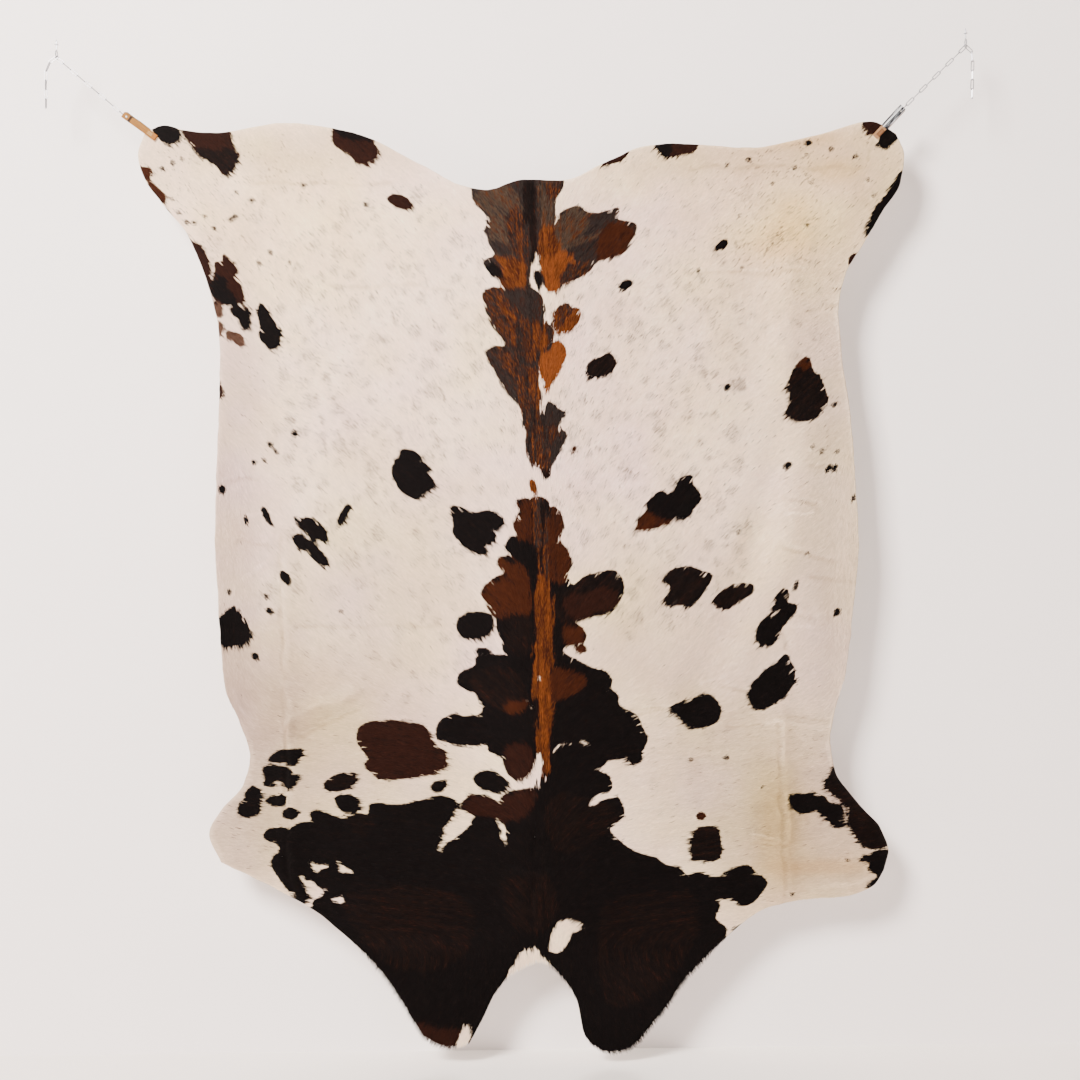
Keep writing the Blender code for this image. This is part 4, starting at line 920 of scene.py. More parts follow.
def inside_by(px, pz, corners):
    """Signed distance to a closed run of corners: positive inside."""
    best = np.full(px.shape, 1e9)
    odd = np.zeros(px.shape, bool)
    nxt = np.roll(corners, -1, axis=0)
    for (ax, az), (bx, bz) in zip(corners, nxt):
        ex, ez = bx - ax, bz - az
        wx, wz = px - ax, pz - az
        t = np.clip((wx * ex + wz * ez) / max(ex * ex + ez * ez, 1e-9), 0, 1)
        best = np.minimum(best, (wx - ex * t) ** 2 + (wz - ez * t) ** 2)
        if az != bz:
            crossing = (az > pz) != (bz > pz)
            odd ^= crossing & (px < ax + (pz - az) / (bz - az) * ex)
    return np.where(odd, 1, -1) * np.sqrt(best)


class Chart:
    """Fields over the hide's plane, read between their points."""

    FAR = 60.0

    def __init__(self, low, high, step):
        self.low, self.step = low, step
        nx = int((high[0] - low[0]) / step) + 2
        nz = int((high[1] - low[1]) / step) + 2
        self.x = low[0] + step * np.arange(nx)
        self.z = low[1] + step * np.arange(nz)
        self.fields = {}

    def blank(self, name, value):
        self.fields[name] = np.full((len(self.x), len(self.z)), float(value))

    def window(self, corners):
        pad = self.FAR * 0.75
        i0, i1 = np.searchsorted(
            self.x, (corners[:, 0].min() - pad, corners[:, 0].max() + pad)
        )
        j0, j1 = np.searchsorted(
            self.z, (corners[:, 1].min() - pad, corners[:, 1].max() + pad)
        )
        return slice(i0, i1), slice(j0, j1)

    def read(self, name, x, z):
        f = self.fields[name]
        i = np.clip((x - self.low[0]) / self.step, 0, f.shape[0] - 1.001)
        j = np.clip((z - self.low[1]) / self.step, 0, f.shape[1] - 1.001)
        i0, j0 = i.astype(int), j.astype(int)
        a, b = i - i0, j - j0
        return (f[i0, j0] * (1 - a) + f[i0 + 1, j0] * a) * (1 - b) + (
            f[i0, j0 + 1] * (1 - a) + f[i0 + 1, j0 + 1] * a
        ) * b


LOW = (170.0, -2485.0)
HIGH = (2080.0, -185.0)
PIGMENTS = [t for t in TONES if t != "white"]


def chart_markings():
    chart = Chart(LOW, HIGH, 3.0)
    chart.blank("mark", -Chart.FAR)
    chart.blank("size", 10.0)
    for tone in PIGMENTS:
        chart.blank(tone, -Chart.FAR)
    for _, tone, corners in MARKINGS:
        p = softened(corners)
        at = chart.window(p)
        gx, gz = np.meshgrid(chart.x[at[0]], chart.z[at[1]], indexing="ij")
        if not gx.size:
            continue
        d = np.maximum(inside_by(gx, gz, p), -Chart.FAR)
        for name in PIGMENTS:
            f = chart.fields[name]
            f[at] = np.maximum(f[at], d) if name == tone else np.minimum(f[at], -d)
        f = chart.fields["size"]
        span = min(float(np.ptp(p[:, 0])), float(np.ptp(p[:, 1]))) / 2
        f[at] = np.where((d > -14) & (d < 40), span, f[at])
        f = chart.fields["mark"]
        f[at] = np.minimum(f[at], -d) if tone == "white" else np.maximum(f[at], d)
    for k, (sx, sz, r) in enumerate(SPECKS):
        at = chart.window(np.array([(sx - r, sz - r), (sx + r, sz + r)]))
        gx, gz = np.meshgrid(chart.x[at[0]], chart.z[at[1]], indexing="ij")
        lean = float(lean_of(np.array([sx]), np.array([sz]))[0])
        along = (gx - sx) * math.sin(lean) - (gz - sz) * math.cos(lean)
        across = (gx - sx) * math.cos(lean) + (gz - sz) * math.sin(lean)
        d = 0.95 * r - np.hypot(across, (along + 0.5 * r) / 1.25)
        d = np.clip(d, -Chart.FAR, None)
        for name in PIGMENTS:
            f = chart.fields[name]
            own = name == ("black" if r > 6 else "smoke")
            f[at] = np.maximum(f[at], d) if own else np.minimum(f[at], -d)
        f = chart.fields["size"]
        f[at] = np.where(d > -3, 0.5 * r, f[at])
        f = chart.fields["mark"]
        f[at] = np.maximum(f[at], d)
    return chart


def chart_edge():
    """Distance inside the cut edge."""
    t = np.linspace(0, 1, 240, endpoint=False)
    o, e = np.zeros_like(t), np.ones_like(t)
    loops = [cut(t, o), cut(e, t), cut(1 - t, e), cut(o, 1 - t)]
    p = np.array(
        [np.concatenate([a[0] for a in loops]), np.concatenate([a[1] for a in loops])]
    ).T
    chart = Chart((150.0, -2510.0), (2110.0, -160.0), 8.0)
    gx, gz = np.meshgrid(chart.x, chart.z, indexing="ij")
    chart.fields["edge"] = inside_by(gx, gz, p)
    return chart


def lean_of(x, z):
    """The way the hair lies: radians from straight down, towards +X."""
    x0, z0, x1, z1 = SPINE
    spine = x0 + (x1 - x0) * np.clip((z - z0) / (z1 - z0), 0, 1)
    side = np.tanh((spine - x) / 120.0)
    low = smooth(-1420, -1760, z)
    angle = 46 + 36 * low + 8 * noise(x / 300, z / 300, 7)
    strip = np.maximum(smooth(520, 400, x), smooth(1830, 1900, x))
    strip = strip * smooth(-900, -1100, z) * (1 - smooth(-1600, -1720, z))
    angle = angle * (1 - 0.75 * strip)
    leg = smooth(-2130, -2260, z)
    angle = angle * (1 - leg) - 26 * leg
    angle = angle * side + 4 * noise(x / 40, z / 40, 8)
    return np.radians(angle)


def streaks(x, z, lean, width, length, seed):
    """Noise drawn out along the lie of the hair."""
    out = np.zeros_like(x)
    turns = np.radians((-82.0, -45.0, 0.0, 45.0, 82.0))
    pick = np.argmin(np.abs(lean[..., None] - turns), axis=-1)
    for k, a in enumerate(turns):
        m = pick == k
        along = x[m] * math.sin(a) - z[m] * math.cos(a)
        across = x[m] * math.cos(a) + z[m] * math.sin(a)
        out[m] = noise(across / width, along / length, seed + k)
    return out


def rosettes():
    rng = np.random.default_rng(SEED + 40)
    spots = []
    for _, x, z, rx, rz, spacing, strength in ROAN:
        tries = int(6 * rx * rz * 4 / spacing**2)
        for px, pz, r, s in rng.uniform(-1, 1, (tries, 4)):
            if px * px + pz * pz > 1:
                continue
            px, pz = x + px * rx, z + pz * rz
            gap = spacing * (0.95 + 0.4 * r)
            if all((px - q[0]) ** 2 + (pz - q[1]) ** 2 > gap * gap for q in spots):
                spots.append((px, pz, 14.5 + 6 * r, strength * (0.55 + 0.45 * s)))
    return np.array(spots)


def chart_roan(chart):
    chart.blank("roan", 0.0)
    f = chart.fields["roan"]
    for x, z, r, s in rosettes():
        at = chart.window(np.array([(x - r, z - r), (x + r, z + r)]))
        gx, gz = np.meshgrid(chart.x[at[0]], chart.z[at[1]], indexing="ij")
        wob = r * (1 + 0.42 * noise(gx / 8, gz / 8, 9))
        d = np.hypot(gx - x, (gz - z) * 0.9) / wob
        rim = 0.75 * np.exp(-(d**3)) + 0.25 * np.exp(-(((d - 0.7) / 0.3) ** 2))
        rim = rim * (0.75 + 0.5 * noise(gx / 6, gz / 6, 19))
        f[at] = np.maximum(f[at], s * np.clip(rim, 0, 1))


# ------------------------------------------------------------------- colour
def linear(rgb):
    c = np.array(rgb, float) / 255
    return np.where(c <= 0.04045, c / 12.92, ((c + 0.055) / 1.055) ** 2.4)


def white_coat(x, z, roan):
    colour = np.ones((len(x), 3)) * linear(TONES["white"][0])
    # the strong tints low on the hind legs and right thigh are partly painted shade
    for _, cx, cz, rx, rz, *tint in TINTS:
        w = np.exp(-(((x - cx) / rx) ** 2) - ((z - cz) / rz) ** 2)
        colour *= 1 + (np.array(tint) ** 2.6 - 1) * np.clip(1.25 * w, 0, 1)[:, None]
    cloud = noise(x / 85, z / 110, 10) + 0.6 * noise(x / 30, z / 36, 11)
    colour *= 1 + 0.05 * cloud[:, None] * np.array((0.8, 1.0, 1.4))
    # painted shade with some dirt along crease troughs, painted highlight along crease ridges
    crease_dirt_shade_highlight = 0.12 * creases(x, z)[1] * (0.8 + 0.5 * noise(x / 20, z / 20, 18))
    colour *= 1 - np.clip(crease_dirt_shade_highlight, -0.12, 0.25)[:, None] * np.array((0.9, 1.0, 1.25))
    hue = noise(x / 170, z / 150, 13) + 0.5 * noise(x / 70, z / 60, 14)
    colour *= 1 + hue[:, None] * np.array((0.0, 0.03, -0.10))
    return colour * (1 - roan[:, None] * np.array((0.32, 0.31, 0.29)))


def tone_coat(chart, x, z, lean):
    """Soft colours of the marked skin below the hair."""
    total = np.zeros((len(x), 3))
    weight = np.full(len(x), 1e-6)
    for name in PIGMENTS:
        mixed = sum(
            linear(TONES[t][0]) * s for t, s in MIXES.get(name, ((name, 1.0),))
        )
        f = chart.read(name, x, z) + 6 * streaks(x, z, lean, 6, 60, 60)
        w = 1 / (1 + np.exp(-np.clip(f / 3.0, -30, 30)))
        total += w[:, None] * mixed
        weight += w
    return total / weight[:, None]


# -------------------------------------------------------------- node helpers
class Tree:
    def __init__(self, name):
        self.mat = bpy.data.materials.new(name)
        self.mat.use_nodes = True
        self.nt = self.mat.node_tree
        self.shader = self.nt.nodes["Principled BSDF"]

    def node(self, kind, inputs=None, **settings):
        n = self.nt.nodes.new(kind)
        for key, value in settings.items():
            setattr(n, key, value)
        for key, value in (inputs or {}).items():
            self.put(n.inputs[key], value)
        return n

    def put(self, socket, value):
        if isinstance(value, bpy.types.NodeSocket):
            self.nt.links.new(value, socket)
        elif isinstance(value, bpy.types.Node):
            self.nt.links.new(value.outputs[0], socket)
        elif hasattr(value, "__len__") and len(value) == 3 and socket.type == "RGBA":
            socket.default_value = (*value, 1.0)
        else:
            socket.default_value = value

    def attribute(self, name, output):
        return self.node("ShaderNodeAttribute", attribute_name=name).outputs[output]

    def place(self, scale=(1, 1, 1), rotation=(0, 0, 0)):
        coords = self.node("ShaderNodeTexCoord").outputs["Object"]
        return self.node(
            "ShaderNodeMapping",
            {"Vector": coords, "Scale": scale, "Rotation": rotation},
        ).outputs[0]

    def noise(self, vector, scale, detail=2.0, rough=0.5):
        return self.node(
            "ShaderNodeTexNoise",
            {"Vector": vector, "Scale": scale, "Detail": detail, "Roughness": rough},
        ).outputs["Fac"]

    def math(self, operation, a, b=0.0, clamp=False):
        n = self.node("ShaderNodeMath", operation=operation, use_clamp=clamp)
        self.put(n.inputs[0], a)
        self.put(n.inputs[1], b)
        return n.outputs[0]

    def remap(self, value, low, high, to_low=0.0, to_high=1.0):
        return self.node(
            "ShaderNodeMapRange",
            {
                "Value": value,
                "From Min": low,
                "From Max": high,
                "To Min": to_low,
                "To Max": to_high,
            },
        ).outputs[0]

    def mix(self, factor, a, b, blend="MIX"):
        n = self.node("ShaderNodeMix", data_type="RGBA", blend_type=blend)
        self.put(n.inputs[0], factor)
        self.put(n.inputs[6], a)
        self.put(n.inputs[7], b)
        return n.outputs[2]

    def scale_colour(self, colour, amount):
        n = self.node("ShaderNodeVectorMath", operation="SCALE")
        self.put(n.inputs[0], colour)
        self.put(n.inputs["Scale"], amount)
        return n.outputs[0]

    def finish(self, colour, rough, height=None, distance=0.001, strength=0.5, **fixed):
        self.put(self.shader.inputs["Base Color"], colour)
        self.put(self.shader.inputs["Roughness"], rough)
        if height is not None:
            bump = self.node(
                "ShaderNodeBump",
                {"Height": height, "Distance": distance, "Strength": strength},
            )
            self.put(self.shader.inputs["Normal"], bump)
        for key, value in fixed.items():
            self.put(self.shader.inputs[key.replace("_", " ")], value)
        return self.mat


def skin_material():
    """Hair side: white or marked by how far inside a marking the point lies."""
    t = Tree("hide_hair_side")
    at = t.place()
    coarse = t.noise(at, 75.0, 3.0)
    fine = t.noise(at, 420.0, 2.0)
    wobble = t.math(
        "ADD",
        t.remap(coarse, 0, 1, -2.6, 2.6),
        t.remap(fine, 0, 1, -1.8, 1.8),
    )
    inside = t.remap(
        t.math("ADD", t.attribute("mark", "Fac"), wobble), 0.0, 1.5, 0.0, 1.0
    )
    colour = t.mix(
        inside,
        t.attribute("coat_white", "Color"),
        t.attribute("coat_tone", "Color"),
    )
    left = t.noise(t.place((900, 900, 70), (0, math.radians(-50), 0)), 1.0, 2.0)
    right = t.noise(t.place((900, 900, 70), (0, math.radians(50), 0)), 1.0, 2.0)
    strand = t.math(
        "ADD",
        t.math("MULTIPLY", left, t.attribute("leftness", "Fac")),
        t.math(
            "MULTIPLY",
            right,
            t.math("SUBTRACT", 1.0, t.attribute("leftness", "Fac")),
        ),
    )
    colour = t.scale_colour(colour, t.remap(strand, 0.3, 0.7, 0.90, 1.06))
    rough = t.remap(fine, 0.3, 0.7, 0.64, 0.76)
    return t.finish(
        colour, rough, strand, 0.0008, 0.35, Specular_IOR_Level=0.05, Sheen_Weight=0.01
    )


def flesh_material():
    """Bare suede of the back, faintly darker where the coat is dark."""
    t = Tree("hide_flesh_side")
    at = t.place()
    nap = t.noise(at, 900.0, 4.0, 0.65)
    patch = t.noise(at, 9.0, 4.0, 0.6)
    vein = t.noise(t.place((1, 1, 0.35)), 26.0, 5.0, 0.7)
    colour = t.mix(
        t.remap(patch, 0.3, 0.7),
        tuple(linear((206, 196, 180))),
        tuple(linear((184, 176, 166))),
    )
    veins = t.remap(t.math("ABSOLUTE", t.math("SUBTRACT", vein, 0.5)), 0.0, 0.035, 0.35, 0.0)
    colour = t.mix(veins, colour, tuple(linear((168, 152, 132))))
    below = t.remap(t.attribute("mark", "Fac"), -6.0, 10.0, 0.0, 0.30)
    colour = t.mix(below, colour, tuple(linear((138, 134, 136))))
    colour = t.scale_colour(colour, t.remap(nap, 0.25, 0.75, 0.88, 1.07))
    height = t.math("ADD", nap, t.math("MULTIPLY", patch, 0.8))
    return t.finish(
        colour,
        t.remap(nap, 0.3, 0.7, 0.82, 0.95),
        height,
        0.0012,
        0.5,
        Specular_IOR_Level=0.2,
        Sheen_Weight=0.25,
    )


def edge_material():
    t = Tree("hide_cut_edge")
    fibre = t.noise(t.place((1, 4, 1)), 700.0, 4.0, 0.7)
    colour = t.mix(
        t.remap(fibre, 0.3, 0.7),
        tuple(linear((205, 190, 172))),
        tuple(linear((232, 224, 212))),
    )
    return t.finish(
        colour, t.remap(fibre, 0.3, 0.7, 0.75, 0.9), fibre, 0.0006, 0.5,
        Specular_IOR_Level=0.25,
    )


def hair_material(name, rough_low, rough_high, specular, sheen):
    """Locks: each carries its own shade, with fine strands along it."""
    t = Tree(name)
    at = t.place()
    strand = t.noise(at, 1300.0, 2.0)
    cloud = t.noise(at, 40.0, 3.0)
    colour = t.attribute("coat", "Color")
    colour = t.scale_colour(colour, t.remap(strand, 0.25, 0.75, 0.95, 1.05))
    colour = t.scale_colour(colour, t.remap(cloud, 0.25, 0.75, 0.985, 1.015))
    return t.finish(
        colour,
        t.remap(strand, 0.3, 0.7, rough_low, rough_high),
        strand,
        0.0002,
        0.25,
        Specular_IOR_Level=specular,
        Sheen_Weight=sheen,
    )


# ------------------------------------------------------------- mesh building
def raw_mesh(name, points, faces_start, loops, smooth_faces=True):
    mesh = bpy.data.meshes.new(name)
    mesh.vertices.add(len(points))
    mesh.vertices.foreach_set("co", np.ascontiguousarray(points, np.float32).ravel())
    mesh.loops.add(len(loops))
    mesh.loops.foreach_set("vertex_index", loops.astype(np.int32))
    mesh.polygons.add(len(faces_start))
    mesh.polygons.foreach_set("loop_start", faces_start.astype(np.int32))
    mesh.update(calc_edges=True)
    if smooth_faces:
        mesh.shade_smooth()
    return mesh


def add_colour(mesh, name, rgb):
    rgba = np.ones((len(rgb), 4), np.float32)
    rgba[:, :3] = rgb
    layer = mesh.attributes.new(name, "FLOAT_COLOR", "POINT")
    layer.data.foreach_set("color", rgba.ravel())


def add_value(mesh, name, values):
    layer = mesh.attributes.new(name, "FLOAT", "POINT")
    layer.data.foreach_set("value", np.ascontiguousarray(values, np.float32))


def add_object(name, mesh):
    obj = bpy.data.objects.new(name, mesh)
    bpy.context.scene.collection.objects.link(obj)
    return obj


def make_skin(chart):
    """One closed sheet: fine hair side, coarser flesh side, and the cut edge."""
    nu, nv = SKIN_COLUMNS, SKIN_ROWS
    us, vs = spread(nu, column_steepness), spread(nv, row_steepness)
    u, v = np.meshgrid(us, vs)
    x, z = cut(u, v)
    out = forward(x, z)
    half = HIDE_THICKNESS / 2
    # the edge is eased a little on both sides
    rim = np.zeros_like(out)
    rim[0, :] = rim[-1, :] = rim[:, 0] = rim[:, -1] = 0.5
    front = np.stack([x, -(out + half - rim), z], -1)
    bx, bz, bo, br = x[::2, ::2], z[::2, ::2], out[::2, ::2], rim[::2, ::2]
    nap = 0.25 * noise(bx / 14, bz / 14, 12)
    back = np.stack([bx, -(bo - half + br + nap * (br == 0)), bz], -1)
    points = np.concatenate([front.reshape(-1, 3), back.reshape(-1, 3)]) * MM
    fi = np.arange((nu + 1) * (nv + 1)).reshape(nv + 1, nu + 1)
    bu, bv = nu // 2, nv // 2
    bi = fi.size + np.arange((bu + 1) * (bv + 1)).reshape(bv + 1, bu + 1)
    quads = [
        np.stack([fi[:-1, :-1], fi[:-1, 1:], fi[1:, 1:], fi[1:, :-1]], -1).reshape(-1, 4),
        np.stack([bi[:-1, :-1], bi[1:, :-1], bi[1:, 1:], bi[:-1, 1:]], -1).reshape(-1, 4),
    ]

    def around(grid):
        return np.concatenate(
            [grid[0, :-1], grid[:-1, -1], grid[-1, :0:-1], grid[:0:-1, 0]]
        )

    f, b = around(fi), around(bi)
    a0, a1, a2 = f[0::2], f[1::2], np.roll(f[0::2], -1)
    b0, b1 = b, np.roll(b, -1)
    tris = np.concatenate(
        [
            np.stack([a1, a0, b0], -1),
            np.stack([a1, b0, b1], -1),
            np.stack([a2, a1, b1], -1),
        ]
    )
    loops = np.concatenate([quads[0].ravel(), quads[1].ravel(), tris.ravel()])
    count = len(quads[0]) + len(quads[1])
    starts = np.concatenate([4 * np.arange(count), 4 * count + 3 * np.arange(len(tris))])
    mesh = raw_mesh("hide_skin", points, starts, loops)
    for mat in (skin_material(), flesh_material(), edge_material()):
        mesh.materials.append(mat)
    slots = np.zeros(len(starts), np.int32)
    slots[len(quads[0]) : count] = 1
    slots[count:] = 2
    mesh.polygons.foreach_set("material_index", slots)

    px = np.concatenate([x.ravel(), bx.ravel()])
    pz = np.concatenate([z.ravel(), bz.ravel()])
    lean = lean_of(px, pz)
    add_value(mesh, "mark", chart.read("mark", px, pz))
    add_value(mesh, "leftness", smooth(0.9, -0.9, -lean))
    # white coat colour, with painted shade in crease troughs and low on the hide, and painted highlight on crease
    # ridges
    add_colour(mesh, "coat_white", white_coat(px, pz, chart.read("roan", px, pz)))
    add_colour(mesh, "coat_tone", tone_coat(chart, px, pz, lean))

    # a flat map: hair side large, flesh side beside it, the edge in short rows
    uv = np.zeros((len(loops), 2), np.float32)
    nf, nb = len(quads[0]) * 4, count * 4
    k = 0.79 / 2280.0
    vx, vz = px[loops], pz[loops]
    uv[:nf, 0] = (vx[:nf] - 190) * k + 0.004
    uv[:nf, 1] = (vz[:nf] + 2465) * k + 0.004
    k = 0.36 / 2280.0
    uv[nf:nb, 0] = (vx[nf:nb] - 190) * k + 0.675
    uv[nf:nb, 1] = (vz[nf:nb] + 2465) * k + 0.004
    n = len(b)
    place = np.concatenate(
        [
            np.stack([np.arange(n) * 2 + 1, np.arange(n) * 2, np.arange(n) * 2], -1),
            np.stack([np.arange(n) * 2 + 1, np.arange(n) * 2, np.arange(n) * 2 + 2], -1),
            np.stack([np.arange(n) * 2 + 2, np.arange(n) * 2 + 1, np.arange(n) * 2 + 2], -1),
        ]
    ).ravel()
    front_side = np.concatenate(
        [np.tile((1, 1, 0), n), np.tile((1, 0, 0), n), np.tile((1, 1, 0), n)]
    )
    per_row = 2 * n / 16.0
    first = np.repeat(place.reshape(-1, 3).min(1), 3)
    row = np.floor(first / per_row)
    uv[nb:, 0] = 0.68 + 0.30 * (place - row * per_row) / per_row
    uv[nb:, 1] = 0.40 + 0.022 * row + 0.012 * front_side
    mesh.uv_layers.new(name="OFBake").data.foreach_set("uv", uv.ravel())
    return add_object("hide_skin", mesh)


def rough_grid(count, rng):
    """Evenly scattered roots inside the cut edge."""
    area = 3.08e6
    cell = math.sqrt(area / count)
    nx, nz = int(1900 / cell) + 1, int(2290 / cell) + 1
    gx, gz = np.meshgrid(np.arange(nx), np.arange(nz), indexing="ij")
    x = 182 + cell * (gx.ravel() + rng.uniform(0, 1, gx.size))
    z = -2470 + cell * (gz.ravel() + rng.uniform(0, 1, gz.size))
    return x, z


def in_clip(x, z, margin):
    out = np.zeros(len(x), bool)
    for side in SIDES:
        ox, oz = clip_point(side, 0.0)
        d = heading(side[3])
        along = (x - ox) * d[0] + (z - oz) * d[1]
        off = (z - oz) * d[0] - (x - ox) * d[1]
        out |= (
            (along > -5)
            & (along < CLIP_LENGTH + margin)
            & (np.abs(off) < JAW_WIDTH / 2 + JAW_SHIFT + margin)
        )
    return out


def make_hair(chart, edges):
    rng = np.random.default_rng(SEED + 3)
    x, z = rough_grid(SPIKES, rng)
    keep = edges.read("edge", x, z) > 0.8
    x, z = x[keep], z[keep]
    lean = lean_of(x, z)
    lean += np.radians(rng.normal(0, 5, len(x)))
    length = HAIR_LENGTH * rng.uniform(0.75, 1.15, len(x))
    length *= 1 - 0.35 * smooth(-420, -260, z)
    dx, dz = np.sin(lean), -np.cos(lean)

    wob = 2.2 * noise(x / 19, z / 19, 20) + 1.9 * noise(x / 8, z / 8, 21)
    wob = wob + 1.0 * noise(x / 4, z / 4, 23) + rng.normal(0, 0.9, len(x))
    tuft = streaks(x, z, lean, 2.8, 34, 30)
    big = np.clip(chart.read("size", x, z) / 26.0, 0.1, 1.0)
    finger = streaks(x, z, lean, 6.5, 50, 25) + 0.9 * streaks(x, z, lean, 3.0, 32, 35)
    wob = wob * (0.3 + 0.7 * big) + 4.0 * big * finger
    root = chart.read("mark", x, z)
    near = chart.read("mark", x + dx * length * 0.22, z + dz * length * 0.22)
    marked = near + wob + 0.9 + 1.9 * (1 - big) > 0
    tip = chart.read("mark", x + dx * length, z + dz * length)
    # either colour runs out over the other in small tufts along the hair
    ragged = np.clip(0.5 + 0.8 * tuft, 0.05, 1) ** 1.1 * rng.uniform(0.3, 1.2, len(x))
    share = np.full(len(x), 2.0)
    for part, far in ((1.0, tip), (0.65, None), (0.35, None)):
        if far is None:
            far = chart.read("mark", x + dx * length * part, z + dz * length * part)
        here = part * np.clip(-root / np.maximum(far - root, 0.1), 0.1, 1.0)
        share = np.where(far > 0, here, share)
    crossing = ~marked & (root < 0) & (share < 1.5)
    reach = length * share + (2.0 + 2.6 * big) * ragged + 0.5
    length = np.where(crossing, np.minimum(length, np.maximum(reach, 4)), length)
    fringe = marked & (tip < 0)
    share = np.clip(root / np.maximum(root - tip, 0.1), 0.1, 1.0)
    reach = length * share + (10.0 + 9.0 * big) * ragged + 0.5
    length = np.where(fringe, np.maximum(reach, 4.5), length)

    # which tone each lock has
    names = list(TONES)
    scores = np.stack(
        [
            chart.read(t, x, z)
            + 9 * streaks(x, z, lean, 5, 45, 70 + 7 * i)
            + 4 * noise(x / 22, z / 22, 120 + i)
            + rng.normal(0, 1.6, len(x))
            for i, t in enumerate(PIGMENTS)
        ]
    )
    tone = np.array([names.index(t) for t in PIGMENTS])[np.argmax(scores, axis=0)]
    band = 0.5 + 0.30 * streaks(x, z, lean, 5.5, 70, 50)
    band = band + 0.18 * streaks(x, z, lean, 2.0, 40, 56) + rng.normal(0, 0.2, len(x))
    band = np.clip(band, 0, 0.9999)
    mixed = tone.copy()
    for name, parts in MIXES.items():
        m = tone == names.index(name)
        limits = np.cumsum([s for _, s in parts])
        pick = np.minimum(np.searchsorted(limits, band[m]), len(parts) - 1)
        mixed[m] = np.array([names.index(t) for t, _ in parts])[pick]
    lock = np.where(marked, mixed, names.index("white"))

    base = np.array([linear(TONES[t][0]) for t in names])
    vary = np.array([TONES[t][1] for t in names])
    coat = base[lock]
    white = lock == names.index("white")
    roan = chart.read("roan", x, z)
    coat[white] = white_coat(x[white], z[white], 1.1 * roan[white])
    shade = np.exp(vary[lock] * rng.normal(0, 1, len(x)))
    patchy = 1 + 0.05 * streaks(x, z, lean, 7, 60, 90)
    coat = coat * (shade * patchy)[:, None]
    # rosettes: part of the locks are greyed
    greyed = white & (rng.uniform(0, 1, len(x)) < 0.5 * roan**1.2)
    grey = linear((140, 120, 103)) * rng.uniform(0.6, 1.1, greyed.sum())[:, None]
    coat[greyed] = grey

    dark = linear((52, 44, 42))
    ticked = np.zeros(len(x), bool)
    clump = 0.5 + 0.5 * noise(x / 22, z / 22, 22)
    chance = rng.uniform(0, 1, len(x))
    for _, cx, cz, rx, rz, share in TICKING:
        w = np.exp(-(((x - cx) / rx) ** 2) - ((z - cz) / rz) ** 2)
        ticked |= white & (chance < share * w * (clump**3) * 3.2)
    coat[ticked] = dark * rng.uniform(0.4, 1.6, ticked.sum())[:, None]

    # clear of the clips' jaws
    tx, tz = x + dx * length, z + dz * length
    free = ~(in_clip(x, z, 0.9) | in_clip(tx, tz, 0.9))
    free &= ~in_clip((x + tx) / 2, (z + tz) / 2, 0.9)

    groups = {
        "hair_black": np.isin(lock, [names.index(t) for t in ("black", "dark", "smoke")]),
        "hair_brown": np.isin(lock, [names.index(t) for t in ("brown", "redbrown", "rust")]),
        "hair_orange": np.isin(lock, [names.index(t) for t in ("orange", "grey", "pale")]),
        "hair_grey": (ticked | greyed) & white,
    }
    taken = np.zeros(len(x), bool)
    for m in groups.values():
        taken |= m
    rest = ~taken
    third = np.quantile(z[rest & free], (1 / 3, 2 / 3))
    groups["hair_white_low"] = rest & (z < third[0])
    groups["hair_white_middle"] = rest & (z >= third[0]) & (z < third[1])
    groups["hair_white_top"] = rest & (z >= third[1])
    finish = {
        "hair_black": hair_material("hair_black", 0.62, 0.74, 0.035, 0.0),
        "hair_brown": hair_material("hair_brown", 0.62, 0.74, 0.035, 0.0),
        "hair_orange": hair_material("hair_orange", 0.60, 0.72, 0.06, 0.0),
        "hair_grey": hair_material("hair_grey", 0.6, 0.72, 0.08, 0.0),
    }
    white_finish = hair_material("hair_white", 0.56, 0.70, 0.16, 0.04)

    roll = np.radians(rng.normal(0, 9, len(x)))
    lift = rng.uniform(0.5, 1.7, len(x)) * np.clip(length / 14, 0.4, 1)
    lift += 1.2 * ticked
    width = LOCK_WIDTH * rng.uniform(0.75, 1.25, len(x)) * np.where(fringe, 1.25, 1)
    made = []
    for name, m in groups.items():
        m = m & free
        n = int(m.sum())
        if not n:
            continue
        rx, rz, w = x[m], z[m], width[m] / 2
        cx, cz = -dz[m], dx[m]
        skin = forward(rx, rz) + HIDE_THICKNESS / 2
        y0 = -(skin - 0.2)
        tip_x, tip_z = rx + dx[m] * length[m], rz + dz[m] * length[m]
        hang = np.clip(-edges.read("edge", tip_x, tip_z), 0, 12) / 12
        y1 = -(forward(tip_x, tip_z) + HIDE_THICKNESS / 2 + lift[m] - 1.2 * hang)
        up = np.sin(roll[m]) * w
        across = np.cos(roll[m]) * w
        p = np.empty((n, 3, 3))
        p[:, 0] = np.stack([rx - cx * across, y0 - up, rz - cz * across], -1)
        p[:, 1] = np.stack([rx + cx * across, y0 + up, rz + cz * across], -1)
        p[:, 2] = np.stack([tip_x, y1, tip_z], -1)
        normal = np.cross(p[:, 1] - p[:, 0], p[:, 2] - p[:, 0])
        flip = normal[:, 1] > 0
        p[flip] = p[flip][:, (1, 0, 2)]
        points = p.reshape(-1, 3) * MM
        loops = np.arange(3 * n)
        mesh = raw_mesh(name, points, 3 * np.arange(n), loops, False)
        ends = np.repeat(coat[m], 3, axis=0)
        darker = 1.12 if name in ("hair_black", "hair_brown", "hair_orange") else 1.02
        ends[2::3] *= darker
        add_colour(mesh, "coat", np.clip(ends, 0.002, 0.95))
        low = points[:, (0, 2)].min(0)
